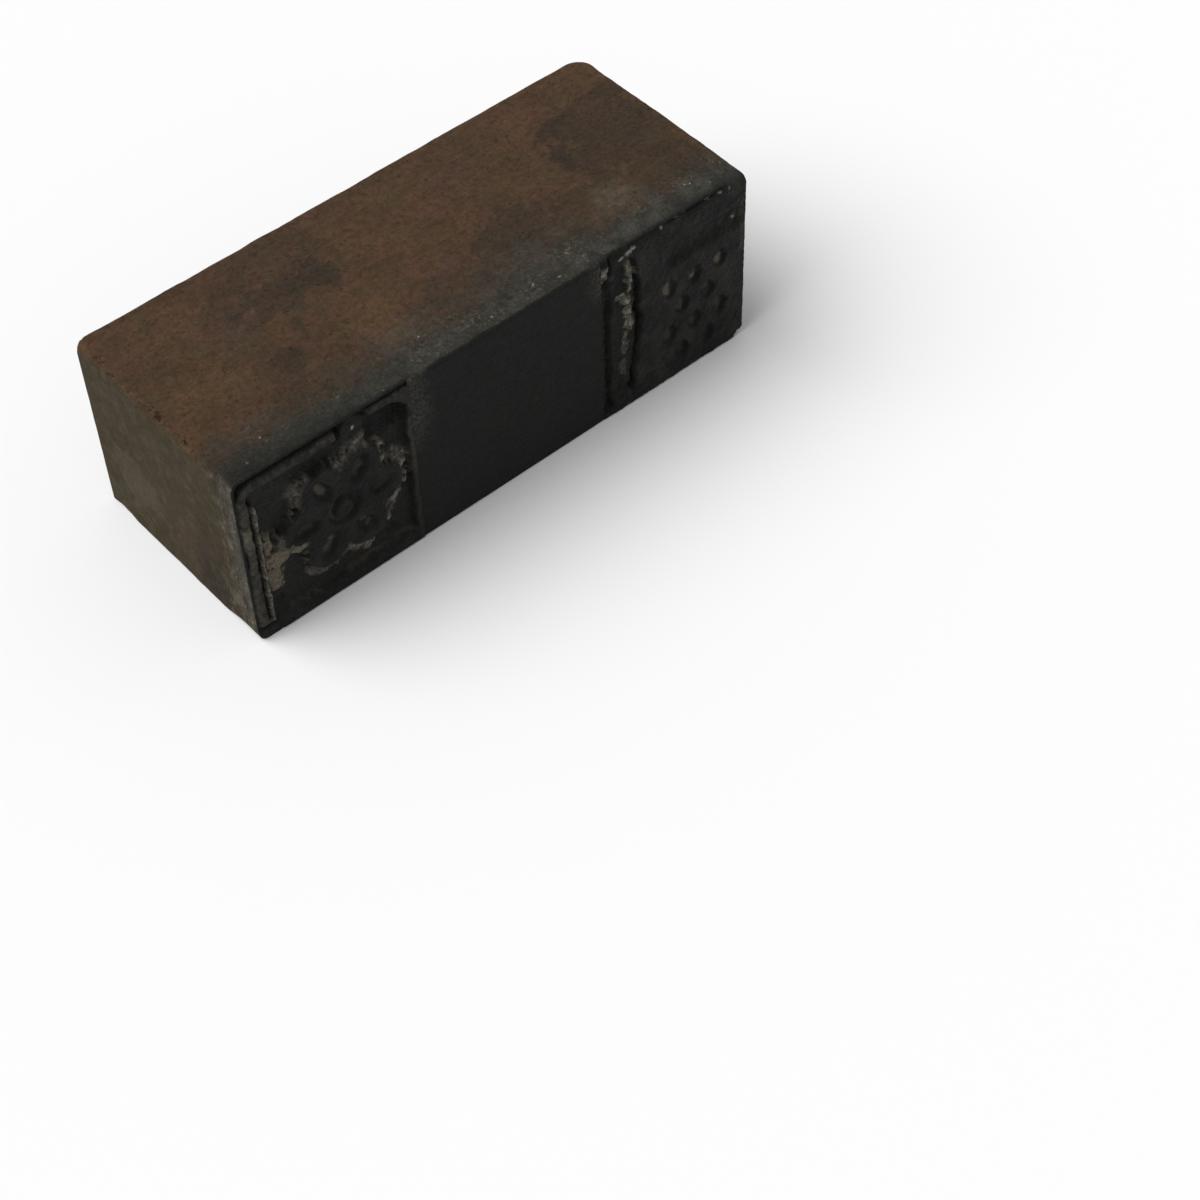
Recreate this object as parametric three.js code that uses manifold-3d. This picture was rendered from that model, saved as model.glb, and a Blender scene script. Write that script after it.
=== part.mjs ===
// A hand stamp for printing: a stained wooden block that lies on one long side, with a metal relief
// plate let into a rebate at each end of its printing face. Four small nails hold each plate.
// Millimetres. X runs along the block, the printing face looks along -Y, and +Z is up.
// The origin is the middle of the side that the block lies on.
import * as THREE from "three";
import { mergeVertices } from "three/addons/utils/BufferGeometryUtils.js";
import Module from "manifold-3d";

const wasm = await Module();
wasm.setup();

// Block
const blockLength = 58;
const blockHeight = 20;
const typeHeight = 23.45; // from the back of the block to the printing plane
const faceSetback = 0.12; // the bare middle of the face lies this far behind the printing plane
const cornerRadius = 1;
const wornCornerRadius = 2; // the back right upright corner
const arrisRadius = 0.6;

// Plates
const plateThickness = 2.5; // from the back of a plate to the printing plane
const leftPlateLength = 18.3;
const rightPlateLength = 16.9;
const plateInset = 0.05; // a plate's edges stand this far inside the faces of the block
const plateCornerRadius = 0.6;
const plateInnerRadius = 0.3;
const bedGap = 0.1; // glue line between a plate and the floor of its rebate
const leftJointGap = 0.12; // between a plate and the bare middle of the face
const rightJointGap = 0.85;

// Relief, with depths measured back from the printing plane
const routedDepth = 1.1;
const etchedDepth = 0.65;
const shoulderDrop = 0.25; // height of the slope on the edges of the relief
const railDrop = 0.06; // the rails stop this far behind the printing plane
const railMargin = 0.3; // from a plate's edge to its rails
const railHeadMargin = 0.8; // from the top of the left plate to its upper rail
const ledgeDrop = 0.45; // the margin round the relief
const ledgeWidth = 1;
const railWidth = 1.05;
const railFoot = 1.7; // height of the lower end of the upright rail
const finWidth = 0.28;
const finGap = 0.25;
const finHeadroom = 3.6; // from the top of the plate to the top of the fin
const thinRailWidth = 0.8;
const sillWidth = 1.45; // the flat strip along the lower edge of the left plate
const jointRailWidth = 0.7; // along the joint of the left plate, level with the bare middle
const lugRadius = 1.4;
const lugDrop = 0.75;
const lugNotch = 0.35; // break in the rail beside the lug

// Rosette on the left plate
const rosetteOffCentre = 1.3; // towards the middle of the block
const rosetteLobes = 6;
const rosetteDisc = 4.7;
const lobeRing = 4.1;
const lobeRadius = 2.4;
const bossRadius = 1;
const bossRing = 0.7; // width of the etched ring round the boss
const petalRing = 4.05;
const petalLength = 2.7;
const petalWidth = 1.3;

// Lattice on the right plate
const stripWidth = 1.5; // ledge beside the joint
const stripDrop = 0.5;
const ridgeWidth = 1;
const ridgeBow = 0.55; // how far the ridge bends towards the lattice
const ridgeGap = 1;
const ridgeHeadroom = 2;
const ridgeFoot = 4.2;
const headBand = 1.5; // flush across the plate above the ridge
const footBand = 2; // and below it
const topRailWidth = 2.8;
const grooveWidth = 2.3; // between the top rail and the lattice
const grooveSetIn = 2.9; // from the left edge of the lattice to the groove
const diamondWidth = 1.5;
const diamondHeight = 1.8;
const diamondPitch = 3.2;
const diamondRow = 2.9; // from one staggered row to the next
const latticeMargin = 2.2;

// Nails
const shankRadius = 0.35;
const headRadius = 0.6;
const headThickness = 0.35;
const nailLength = 9; // under the head
const nailPoint = 1.6;
const nailClearance = 0.12;
const headSunk = 0.28; // how deep a head is let into what it holds down
const nailMargin = 3; // from the edges of a plate to its corner nails
const endNailMargin = 1.5; // from the right end to the nails there
const lugNailFromTop = 1.65;
const lugNailFromJoint = 5.85;

const arcSteps = 5; // straight pieces in a quarter turn, or near it
const sink = 0.4; // how far relief runs down into its plate before they are joined
const shoulder = finWidth / 4; // width of the slope on the edges of the relief
const slimRadius = finWidth * 0.4;
const over = 1; // how far a cutting shape runs past what it cuts

// Places on the face: u runs from the left end of the block, v up from the side that it lies on,
// and w out of the printing plane, so that w = 0 is what touches the paper.
const printingPlane = -typeHeight / 2;
const plateBottom = plateInset;
const plateTop = blockHeight - plateInset;
const left = { start: plateInset, end: plateInset + leftPlateLength };
const right = { start: blockLength - plateInset - rightPlateLength, end: blockLength - plateInset };

const woodFinish = { color: 0x4a3a2c, roughness: 0.75, metalness: 0 };
const plateFinish = { color: 0x1c1d1c, roughness: 0.55, metalness: 0.6 };
const nailFinish = { color: 0x34332f, roughness: 0.5, metalness: 0.8 };

function solidOf(geometry) {
  geometry.deleteAttribute("normal");
  geometry.deleteAttribute("uv");
  const merged = mergeVertices(geometry, 1e-4);
  return new wasm.Manifold(
    new wasm.Mesh({
      numProp: 3,
      vertProperties: merged.attributes.position.array,
      triVerts: new Uint32Array(merged.index.array),
    }),
  );
}

function geometryOf(solid) {
  const mesh = solid.getMesh();
  const geometry = new THREE.BufferGeometry();
  geometry.setAttribute("position", new THREE.BufferAttribute(mesh.vertProperties, 3));
  geometry.setIndex(new THREE.BufferAttribute(mesh.triVerts, 1));
  geometry.computeVertexNormals();
  return geometry;
}

const join = (solids) => solids.reduce((whole, one) => whole.add(one));
const cut = (solid, tools) => tools.reduce((rest, tool) => rest.subtract(tool), solid);

// A rectangle with its own radius at each corner: lower left, lower right, upper right, upper left.
function roundedRectangle(x0, y0, x1, y1, radii) {
  const [a, b, c, d] = radii;
  const shape = new THREE.Shape();
  shape.moveTo(x0 + a, y0);
  shape.lineTo(x1 - b, y0);
  shape.absarc(x1 - b, y0 + b, b, -Math.PI / 2, 0);
  shape.lineTo(x1, y1 - c);
  shape.absarc(x1 - c, y1 - c, c, 0, Math.PI / 2);
  shape.lineTo(x0 + d, y1);
  shape.absarc(x0 + d, y1 - d, d, Math.PI / 2, Math.PI);
  shape.lineTo(x0, y0 + a);
  shape.absarc(x0 + a, y0 + a, a, Math.PI, Math.PI * 1.5);
  return shape;
}

const bar = (x0, y0, x1, y1, radius) => roundedRectangle(x0, y0, x1, y1, Array(4).fill(radius));

function disc(x, y, radius) {
  return new THREE.Shape().absarc(x, y, radius, 0, Math.PI * 2);
}

function ellipse(x, y, alongX, alongY, turn) {
  return new THREE.Shape().absellipse(x, y, alongX, alongY, 0, Math.PI * 2, false, turn);
}

function polygon(points) {
  return new THREE.Shape(points.map(([x, y]) => new THREE.Vector2(x, y)));
}

// A straight-sided solid of a face outline, from depth w0 up to w1.
function prism(shape, w0, w1, curveSegments = arcSteps) {
  const options = { depth: w1 - w0, bevelEnabled: false, curveSegments };
  return solidOf(new THREE.ExtrudeGeometry(shape, options).translate(0, 0, w0));
}

// Relief that stands on the routed floor and reaches the height top, with sloped shoulders.
function relief(shape, top, curveSegments = arcSteps) {
  const foot = -routedDepth - sink;
  const options = {
    depth: top - foot - shoulderDrop,
    bevelSize: shoulder,
    bevelOffset: -shoulder,
    bevelThickness: shoulderDrop,
    bevelSegments: 1,
    curveSegments,
  };
  const geometry = new THREE.ExtrudeGeometry(shape, options).translate(0, 0, foot);
  const belowFloor = prism(bar(-over, -over, blockLength + over, blockHeight + over, over / 2),
    foot - over, foot);
  return solidOf(geometry).subtract(belowFloor);
}

// The nails, each with its place on the face and the depth of what its head sits on. Beside the
// joint of the right plate they are let into the ledge, and at its upper end they stand in the groove.
const lowNail = plateBottom + nailMargin;
const highNail = plateTop - nailMargin;
const ledgeNail = right.start + stripWidth / 2;
const groundSeat = -routedDepth - headSunk;
const ledgeSeat = -stripDrop - headSunk;
const grooveTop = plateTop - railMargin - topRailWidth;
const lug = { u: left.end - lugNailFromJoint, v: plateTop - lugNailFromTop };
const leftNails = [
  { name: "left_nail_upper_end", u: left.start + nailMargin, v: highNail, seat: groundSeat },
  { name: "left_nail_lug", u: lug.u, v: lug.v, seat: -lugDrop },
  { name: "left_nail_lower_end", u: left.start + nailMargin, v: lowNail, seat: groundSeat },
  { name: "left_nail_lower_joint", u: left.end - nailMargin, v: lowNail, seat: groundSeat },
];
const rightNails = [
  { name: "right_nail_upper_joint", u: ledgeNail, v: highNail, seat: ledgeSeat },
  {
    name: "right_nail_upper_end",
    u: right.end - endNailMargin,
    v: grooveTop - grooveWidth / 2,
    seat: -etchedDepth,
  },
  { name: "right_nail_lower_joint", u: ledgeNail, v: lowNail, seat: ledgeSeat },
  { name: "right_nail_lower_end", u: right.end - endNailMargin, v: lowNail, seat: -headThickness - railDrop },
];

// Room for a nail in its plate: a pocket for the head and a hole for the shank.
function nailRoom(nail) {
  const pocket = prism(disc(nail.u, nail.v, headRadius + nailClearance), nail.seat, over);
  const hole = prism(disc(nail.u, nail.v, shankRadius + nailClearance), -plateThickness - over, over);
  return pocket.add(hole);
}

function plateBase(plate, radii) {
  const outline = roundedRectangle(plate.start, plateBottom, plate.end, plateTop, radii);
  return { outline, slab: prism(outline, -plateThickness, -routedDepth) };
}

// Keeps relief inside the outline of its plate.
function onPlate(outline, solids) {
  return join(solids).intersect(prism(outline, -plateThickness, over));
}

function rosette(u, v) {
  const around = (i) => (i / rosetteLobes) * Math.PI * 2;
  const lobes = [relief(disc(u, v, rosetteDisc), 0, arcSteps * 2)];
  const petals = [];
  for (let i = 0; i < rosetteLobes; i += 1) {
    const c = Math.cos(around(i));
    const s = Math.sin(around(i));
    lobes.push(relief(disc(u + lobeRing * c, v + lobeRing * s, lobeRadius), 0));
    const petal = ellipse(u + petalRing * c, v + petalRing * s, petalLength / 2, petalWidth / 2, around(i));
    petals.push(prism(petal, -etchedDepth, over, arcSteps));
  }
  const moat = prism(disc(u, v, bossRadius + bossRing), -etchedDepth, over, arcSteps * 2);
  const boss = prism(disc(u, v, bossRadius), -etchedDepth - sink, over, arcSteps * 2);
  return cut(join(lobes), [...petals, moat.subtract(boss)]);
}

function leftPlate() {
  const { outline, slab } = plateBase(left, [
    plateCornerRadius,
    plateInnerRadius,
    plateInnerRadius,
    plateCornerRadius,
  ]);
  const railStart = left.start + railMargin;
  const railEnd = railStart + railWidth;
  const railHead = plateTop - railHeadMargin;
  const finStart = railEnd + finGap;
  const finEnd = finStart + finWidth;
  const beforeLug = lug.u - lugRadius - lugNotch;
  const afterLug = lug.u + lugRadius;
  const thinHead = railHead + railMargin;
  const pieces = [
    relief(bar(-over, plateTop - ledgeWidth, left.end + over, plateTop + over, slimRadius), -ledgeDrop),
    relief(bar(-over, -over, left.start + ledgeWidth, plateTop + over, slimRadius), -ledgeDrop),
    relief(bar(railStart, railFoot, railEnd, railHead, railWidth / 3), -railDrop),
    relief(bar(finStart, railFoot, finEnd, plateTop - finHeadroom, slimRadius), -railDrop),
    relief(bar(railStart, railFoot, finEnd, railFoot + finWidth * 2, slimRadius), -railDrop * 2),
    relief(bar(railStart, railHead - railWidth, beforeLug, railHead, railWidth / 3), -railDrop),
    relief(bar(afterLug, thinHead - thinRailWidth, left.end, thinHead, slimRadius), -railDrop),
    relief(bar(finEnd + finGap, plateBottom, left.end, plateBottom + sillWidth, slimRadius), -railDrop),
    relief(bar(left.end - jointRailWidth, -over, left.end + over, thinHead, slimRadius), -faceSetback),
    relief(disc(lug.u, lug.v, lugRadius), -lugDrop, arcSteps * 2),
    rosette((left.start + left.end) / 2 + rosetteOffCentre, blockHeight / 2),
  ];
  return cut(slab.add(onPlate(outline, pieces)), leftNails.map(nailRoom));
}

// The ridge is a thin wall that bows towards the lattice, between two matching curves.
function ridgeShape(u) {
  const foot = plateBottom + ridgeFoot;
  const head = plateTop - ridgeHeadroom;
  const middle = (foot + head) / 2;
  const shape = new THREE.Shape();
  shape.moveTo(u, foot);
  shape.lineTo(u + ridgeWidth, foot);
  shape.quadraticCurveTo(u + ridgeWidth + ridgeBow * 2, middle, u + ridgeWidth, head);
  shape.lineTo(u, head);
  shape.quadraticCurveTo(u + ridgeBow * 2, middle, u, foot);
  return shape;
}

// Staggered rows of diamonds, from the top row down.
function diamonds(u0, v0, u1, v1) {
  const columns = Math.floor((u1 - u0) / diamondPitch) + 1;
  const rows = Math.floor((v1 - v0) / diamondRow) + 1;
  const firstU = (u0 + u1 - (columns - 1) * diamondPitch) / 2;
  const topV = (v0 + v1 + (rows - 1) * diamondRow) / 2;
  const holes = [];
  for (let row = 0; row < rows; row += 1) {
    const staggered = row % 2;
    for (let column = 0; column < columns - staggered; column += 1) {
      const u = firstU + (column + staggered / 2) * diamondPitch;
      const v = topV - row * diamondRow;
      const corners = [
        [u - diamondWidth / 2, v],
        [u, v - diamondHeight / 2],
        [u + diamondWidth / 2, v],
        [u, v + diamondHeight / 2],
      ];
      holes.push(prism(polygon(corners), -etchedDepth, over));
    }
  }
  return holes;
}

function rightPlate() {
  const { outline, slab } = plateBase(right, [
    plateInnerRadius,
    plateCornerRadius,
    plateCornerRadius,
    plateInnerRadius,
  ]);
  const ridgeStart = right.start + stripWidth;
  const latticeStart = ridgeStart + ridgeWidth + ridgeBow + ridgeGap;
  const latticeTop = grooveTop - grooveWidth;
  const grooveStart = latticeStart + grooveSetIn;
  const grooveEnd = right.end - railMargin;
  const bandHead = plateTop - railMargin;
  const bandEnd = latticeStart + latticeMargin / 2;
  const pieces = [
    relief(bar(right.start - over, plateTop - ledgeWidth, right.end + over, plateTop + over, slimRadius),
      -ledgeDrop),
    relief(bar(right.start, plateBottom, ridgeStart, plateTop, slimRadius), -stripDrop),
    relief(ridgeShape(ridgeStart), -railDrop),
    relief(bar(right.start, bandHead - headBand, bandEnd, bandHead, slimRadius), -railDrop),
    relief(bar(right.start, plateBottom, bandEnd, plateBottom + footBand, slimRadius), -railDrop),
    relief(bar(latticeStart, plateBottom, right.end, bandHead, slimRadius), 0),
  ];
  const groove = bar(grooveStart, latticeTop, grooveEnd, grooveTop, grooveWidth / 3);
  const counters = diamonds(
    latticeStart + latticeMargin,
    plateBottom + latticeMargin,
    right.end - latticeMargin,
    latticeTop - latticeMargin,
  );
  const cuts = [prism(groove, -etchedDepth, over), ...counters, ...rightNails.map(nailRoom)];
  return cut(slab.add(onPlate(outline, pieces)), cuts);
}

// The rebate for a plate runs out at the end, the top and the bottom of the block.
function rebate(u0, u1) {
  const depth = plateThickness + bedGap;
  const opening = new THREE.BoxGeometry(u1 - u0, depth + over, blockHeight + over * 2);
  const middle = (u0 + u1 - blockLength) / 2;
  return solidOf(opening.translate(middle, printingPlane + (depth - over) / 2, blockHeight / 2));
}

function nailHole(nail) {
  const depth = nailLength + nailClearance - nail.seat;
  const hole = new THREE.CylinderGeometry(
    shankRadius + nailClearance,
    shankRadius + nailClearance,
    depth + over,
    arcSteps * 2,
  );
  hole.translate(nail.u - blockLength / 2, printingPlane + (depth - over) / 2, nail.v);
  return solidOf(hole);
}

function woodBlock() {
  const outline = roundedRectangle(
    -blockLength / 2,
    printingPlane + faceSetback,
    blockLength / 2,
    typeHeight / 2,
    [cornerRadius, cornerRadius, wornCornerRadius, cornerRadius],
  );
  const options = {
    depth: blockHeight - arrisRadius * 2,
    bevelSize: arrisRadius,
    bevelOffset: -arrisRadius,
    bevelThickness: arrisRadius,
    bevelSegments: 3,
    curveSegments: arcSteps,
  };
  const whole = solidOf(new THREE.ExtrudeGeometry(outline, options).translate(0, 0, arrisRadius));
  const cuts = [
    rebate(-over, left.end + leftJointGap),
    rebate(right.start - rightJointGap, blockLength + over),
    ...[...leftNails, ...rightNails].map(nailHole),
  ];
  return cut(whole, cuts);
}

function nailGeometry() {
  const profile = [
    [0, -nailLength],
    [shankRadius, nailPoint - nailLength],
    [shankRadius, 0],
    [headRadius, 0],
    [headRadius, headThickness * 0.55],
    [headRadius * 0.7, headThickness],
    [0, headThickness],
  ];
  return new THREE.LatheGeometry(profile.map(([r, y]) => new THREE.Vector2(r, y)), arcSteps * 2);
}

function piece(name, geometry, finish) {
  const mesh = new THREE.Mesh(geometry, new THREE.MeshStandardMaterial(finish));
  mesh.name = name;
  return mesh;
}

const stamp = new THREE.Group();
stamp.name = "stamp";
stamp.add(piece("wood_block", geometryOf(woodBlock()), woodFinish));

// The face stands upright: its u, v and w become X, Z and -Y.
const face = new THREE.Group();
face.position.set(-blockLength / 2, printingPlane, 0);
face.rotation.x = Math.PI / 2;
face.add(piece("left_relief_plate", geometryOf(leftPlate()), plateFinish));
face.add(piece("right_relief_plate", geometryOf(rightPlate()), plateFinish));
for (const nail of [...leftNails, ...rightNails]) {
  const mesh = piece(nail.name, nailGeometry(), nailFinish);
  mesh.position.set(nail.u, nail.v, nail.seat);
  mesh.rotation.x = Math.PI / 2;
  face.add(mesh);
}
stamp.add(face);

export default stamp;
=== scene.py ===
import math
from functools import reduce
import bpy
import numpy as np
from mathutils import Matrix, Vector, noise


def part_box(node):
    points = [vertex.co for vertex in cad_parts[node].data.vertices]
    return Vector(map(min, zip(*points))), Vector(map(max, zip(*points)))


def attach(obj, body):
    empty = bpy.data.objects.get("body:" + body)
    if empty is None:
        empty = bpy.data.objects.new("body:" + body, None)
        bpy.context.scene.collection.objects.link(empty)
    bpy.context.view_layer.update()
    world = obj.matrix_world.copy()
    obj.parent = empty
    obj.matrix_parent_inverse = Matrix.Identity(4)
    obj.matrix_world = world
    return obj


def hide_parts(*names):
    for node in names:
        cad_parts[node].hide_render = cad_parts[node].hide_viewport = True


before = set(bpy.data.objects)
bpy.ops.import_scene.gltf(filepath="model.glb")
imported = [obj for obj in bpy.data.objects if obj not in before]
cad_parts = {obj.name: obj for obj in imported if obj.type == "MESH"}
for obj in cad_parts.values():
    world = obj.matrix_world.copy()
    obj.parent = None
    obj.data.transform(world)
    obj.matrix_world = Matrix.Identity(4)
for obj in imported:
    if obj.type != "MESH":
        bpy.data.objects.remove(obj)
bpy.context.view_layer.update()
mm = 0.001  # sizes below are millimetres
sharpFrom = 65  # degrees; edges that turn more are not shaded over
tiny = 1e-6  # keeps divisions off zero
print("frame loaded:", len(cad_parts), "nodes")


# small tools

def boxInMm(node):
    low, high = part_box(node)
    return low / mm, high / mm


block = boxInMm("wood_block")


def faceCentre(node):
    # u from the block's left end, t down from its upper side
    low, high = boxInMm(node)
    return (low.x + high.x) / 2 - block[0].x, block[1].z - (low.z + high.z) / 2


def wobble(points, size, seed, octaves=3):
    # smooth noise, about -1 to 1, in bumps of this size
    spots = np.asarray(points, float) / size + seed * np.array((17.3, 5.9, 11.1))
    return np.array([noise.fractal(spot, 1.0, 2.0, octaves) for spot in spots.tolist()])


def fade(value, start, end):
    # 0 before start, 1 after end, smooth between
    t = np.clip((value - start) / (end - start), 0.0, 1.0)
    return t * t * (3.0 - 2.0 * t)


def fadeOut(value, start, end):
    return 1.0 - fade(value, start, end)


def mixed(amount, first, second):
    return first * (1.0 - amount) + second * amount


def most(*values):
    return reduce(np.maximum, values)


def patches(x, y, spots, ragged, softness):
    # soft-edged ovals: place, half sizes and strength of each
    total = np.zeros(np.shape(x))
    for cx, cy, halfX, halfY, strength in spots:
        ring = np.hypot((x - cx) / halfX, (y - cy) / halfY) + ragged
        total = most(total, strength * fadeOut(ring, 1.0 - softness, 1.0 + softness * 0.5))
    return total


def addObject(name, data):
    made = bpy.data.objects.new(name, data)
    bpy.context.scene.collection.objects.link(made)
    return made


def makePiece(name, points, faces, masks, material, node):
    mesh = bpy.data.meshes.new(name)
    mesh.from_pydata((np.asarray(points) * mm).tolist(), [], faces)
    for maskName, values in masks.items():
        layer = mesh.attributes.new(maskName, "FLOAT", "POINT")
        layer.data.foreach_set("value", np.asarray(values, np.float32))
    mesh.polygons.foreach_set("use_smooth", [True] * len(mesh.polygons))
    mesh.set_sharp_from_angle(angle=math.radians(sharpFrom))
    mesh.materials.append(material)
    mesh.update()
    piece = addObject(name, mesh)
    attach(piece, "root")
    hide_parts(node)


# shader tools

def feed(tree, socket, value):
    if isinstance(value, bpy.types.NodeSocket):
        tree.links.new(value, socket)
    else:
        socket.default_value = (*value, 1.0) if socket.type == "RGBA" else value


def put(tree, kind, inputs, **settings):
    made = tree.nodes.new(kind)
    for key, value in settings.items():
        setattr(made, key, value)
    for key, value in inputs.items():
        feed(tree, made.inputs[key], value)
    return made


def calc(tree, operation, *values):
    return put(tree, "ShaderNodeMath", dict(enumerate(values)), operation=operation).outputs[0]


def times(tree, product, *others):
    for other in others:
        product = calc(tree, "MULTIPLY", product, other)
    return product


def vectorCalc(tree, operation, *values):
    return put(tree, "ShaderNodeVectorMath", dict(enumerate(values)), operation=operation).outputs[0]


def shrunk(tree, vector, size):
    factor = calc(tree, "DIVIDE", 1.0, size)
    return put(tree, "ShaderNodeVectorMath", {0: vector, "Scale": factor}, operation="SCALE").outputs[0]


def blend(tree, amount, first, second, mode="MIX"):
    inputs = {0: amount, 6: first, 7: second}
    return put(tree, "ShaderNodeMix", inputs, data_type="RGBA", blend_type=mode).outputs[2]


def blendValue(tree, amount, first, second):
    return put(tree, "ShaderNodeMix", {0: amount, 2: first, 3: second}).outputs[0]


def between(tree, value, low, high, toLow=0.0, toHigh=1.0):
    inputs = {"Value": value, "From Min": low, "From Max": high, "To Min": toLow, "To Max": toHigh}
    return put(tree, "ShaderNodeMapRange", inputs, interpolation_type="SMOOTHSTEP").outputs[0]


def spread(tree, value, toLow, toHigh):
    return between(tree, value, 0.0, 1.0, toLow, toHigh)


def clamped(tree, value):
    return put(tree, "ShaderNodeClamp", {"Value": value}).outputs[0]


def mask(tree, name):
    return put(tree, "ShaderNodeAttribute", {}, attribute_name=name).outputs["Fac"]


groups = {}


def newGroup(name, colours, values, outKind, outputs):
    # every group takes a position, then these colours and values
    tree = bpy.data.node_groups.new(name, "ShaderNodeTree")
    sockets = [("Position", "INPUT", "Vector")]
    sockets += [(label, "INPUT", "Color") for label in colours]
    sockets += [(label, "INPUT", "Float") for label in values]
    sockets += [(label, "OUTPUT", outKind) for label in outputs]
    for label, way, kind in sockets:
        tree.interface.new_socket(label, in_out=way, socket_type="NodeSocket" + kind)
    groups[name] = tree
    return tree, tree.nodes.new("NodeGroupInput").outputs, tree.nodes.new("NodeGroupOutput").inputs


def useGroup(tree, name, **inputs):
    made = tree.nodes.new("ShaderNodeGroup")
    made.node_tree = groups[name]
    for key, value in inputs.items():
        feed(tree, made.inputs[key], value)
    return made.outputs


def cloud(tree, place, size, offset, contrast):
    return useGroup(tree, "mottle", Position=place, Size=size, Offset=offset, Contrast=contrast)["Value"]


def specks(tree, place, size, level, offset):
    return useGroup(tree, "specks", Position=place, Size=size, Level=level, Offset=offset)["Mask"]


def twoClouds(tree, place, broad, close):
    broad, close = cloud(tree, place, *broad), cloud(tree, place, *close)
    return calc(tree, "MULTIPLY_ADD", broad, 0.6, times(tree, close, 0.4))


def movedPlace(tree, given):
    return vectorCalc(tree, "ADD", shrunk(tree, given["Position"], given["Size"]), given["Offset"])


def mottleGroup():
    # cloudy variation, 0 to 1
    tree, given, out = newGroup("mottle", [], ["Size", "Offset", "Contrast"], "Float", ["Value"])
    shape = {"Vector": movedPlace(tree, given), "Scale": 1.0, "Detail": 5.0}
    centred = calc(tree, "SUBTRACT", put(tree, "ShaderNodeTexNoise", shape).outputs["Fac"], 0.5)
    stretched = calc(tree, "MULTIPLY_ADD", centred, given["Contrast"], 0.5)
    feed(tree, out["Value"], clamped(tree, stretched))


def grainGroup():
    # long fibres along X with short dark pores
    tree, given, out = newGroup("grain", [], ["Spacing", "Stretch"], "Float", ["Streak", "Pore"])
    drawn = calc(tree, "DIVIDE", 1.0, given["Stretch"])
    squeeze = put(tree, "ShaderNodeCombineXYZ", {"X": drawn, "Y": 1.0, "Z": 1.0}).outputs[0]
    fibre = vectorCalc(tree, "MULTIPLY", shrunk(tree, given["Position"], given["Spacing"]), squeeze)
    streak = put(tree, "ShaderNodeTexNoise", {"Vector": fibre, "Scale": 1.0, "Detail": 4.0})
    feed(tree, out["Streak"], streak.outputs["Fac"])
    pore = put(tree, "ShaderNodeTexVoronoi", {"Vector": fibre, "Scale": 2.2, "Randomness": 1.0})
    feed(tree, out["Pore"], between(tree, pore.outputs["Distance"], 0.12, 0.3, 1.0, 0.0))


def speckGroup():
    # ragged small flecks: the peaks of a noise above a level
    tree, given, out = newGroup("specks", [], ["Size", "Level", "Offset"], "Float", ["Mask"])
    shape = {"Vector": movedPlace(tree, given), "Scale": 1.0, "Detail": 3.0, "Roughness": 0.6}
    peaks = put(tree, "ShaderNodeTexNoise", shape).outputs["Fac"]
    full = calc(tree, "ADD", given["Level"], 0.04)
    feed(tree, out["Mask"], between(tree, peaks, given["Level"], full))


def fleckGroup():
    # single small flecks, bent out of round; Share is how many of the cells hold one
    tree, given, out = newGroup("flecks", [], ["Size", "Share"], "Float", ["Mask"])
    place = shrunk(tree, given["Position"], given["Size"])
    stir = put(tree, "ShaderNodeTexNoise", {"Vector": place, "Scale": 3.0, "Detail": 2.0}).outputs["Color"]
    bent = vectorCalc(tree, "MULTIPLY_ADD", stir, (1.1, 1.1, 1.1), place)
    cells = put(tree, "ShaderNodeTexVoronoi", {"Vector": bent, "Scale": 1.0})
    drawn = put(tree, "ShaderNodeSeparateColor", {"Color": cells.outputs["Color"]}).outputs[0]
    near = between(tree, cells.outputs["Distance"], 0.05, 0.33, 1.0, 0.0)
    feed(tree, out["Mask"], times(tree, calc(tree, "LESS_THAN", drawn, given["Share"]), near))


def grimeGroup():
    # a smoky film of ink with paler powder rubbed into it, and how far it is dimmed to black
    tree, given, out = newGroup("grime", ["Ink", "Powder", "Dark"], ["Dusting", "Dim"], "Color", ["Colour"])
    smoky = twoClouds(tree, given["Position"], (1.5, 43.0, 2.4), (0.3, 3.0, 2.4))
    dust = times(tree, between(tree, smoky, 0.22, 0.78, 0.1, 1.15), given["Dusting"])
    film = blend(tree, dust, given["Ink"], given["Powder"])
    feed(tree, out["Colour"], blend(tree, given["Dim"], film, given["Dark"]))


def scuffGroup():
    # upright pale scratches and dark dents over a base colour
    tree, given, out = newGroup("scuffs", ["Base", "Pale", "Dark"], ["Amount"], "Color", ["Colour"])
    drawn = vectorCalc(tree, "MULTIPLY", given["Position"], (1.0, 1.3, 0.8))
    uneven = twoClouds(tree, drawn, (1.3, 51.0, 2.6), (0.4, 37.0, 2.6))
    colour = given["Base"]
    for start, full, name in ((0.46, 0.2, "Dark"), (0.5, 0.8, "Pale")):
        amount = times(tree, between(tree, uneven, start, full), given["Amount"])
        colour = blend(tree, amount, colour, given[name])
    feed(tree, out["Colour"], colour)


for makeGroup in (mottleGroup, grainGroup, speckGroup, fleckGroup, grimeGroup, scuffGroup):
    makeGroup()
print("node groups made:", ", ".join(groups))


def plainMaterial(name, specular):
    material = bpy.data.materials.new(name)
    material.use_nodes = True
    tree = material.node_tree
    tree.nodes["Principled BSDF"].inputs["Specular IOR Level"].default_value = specular
    return material, tree


def cloudedMaterial(name, look):
    material, tree = plainMaterial(name, look["specular"])
    place = shrunk(tree, put(tree, "ShaderNodeTexCoord", {}).outputs["Object"], mm)
    return material, tree, place, {key: cloud(tree, place, *row) for key, row in look["clouds"].items()}


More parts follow.
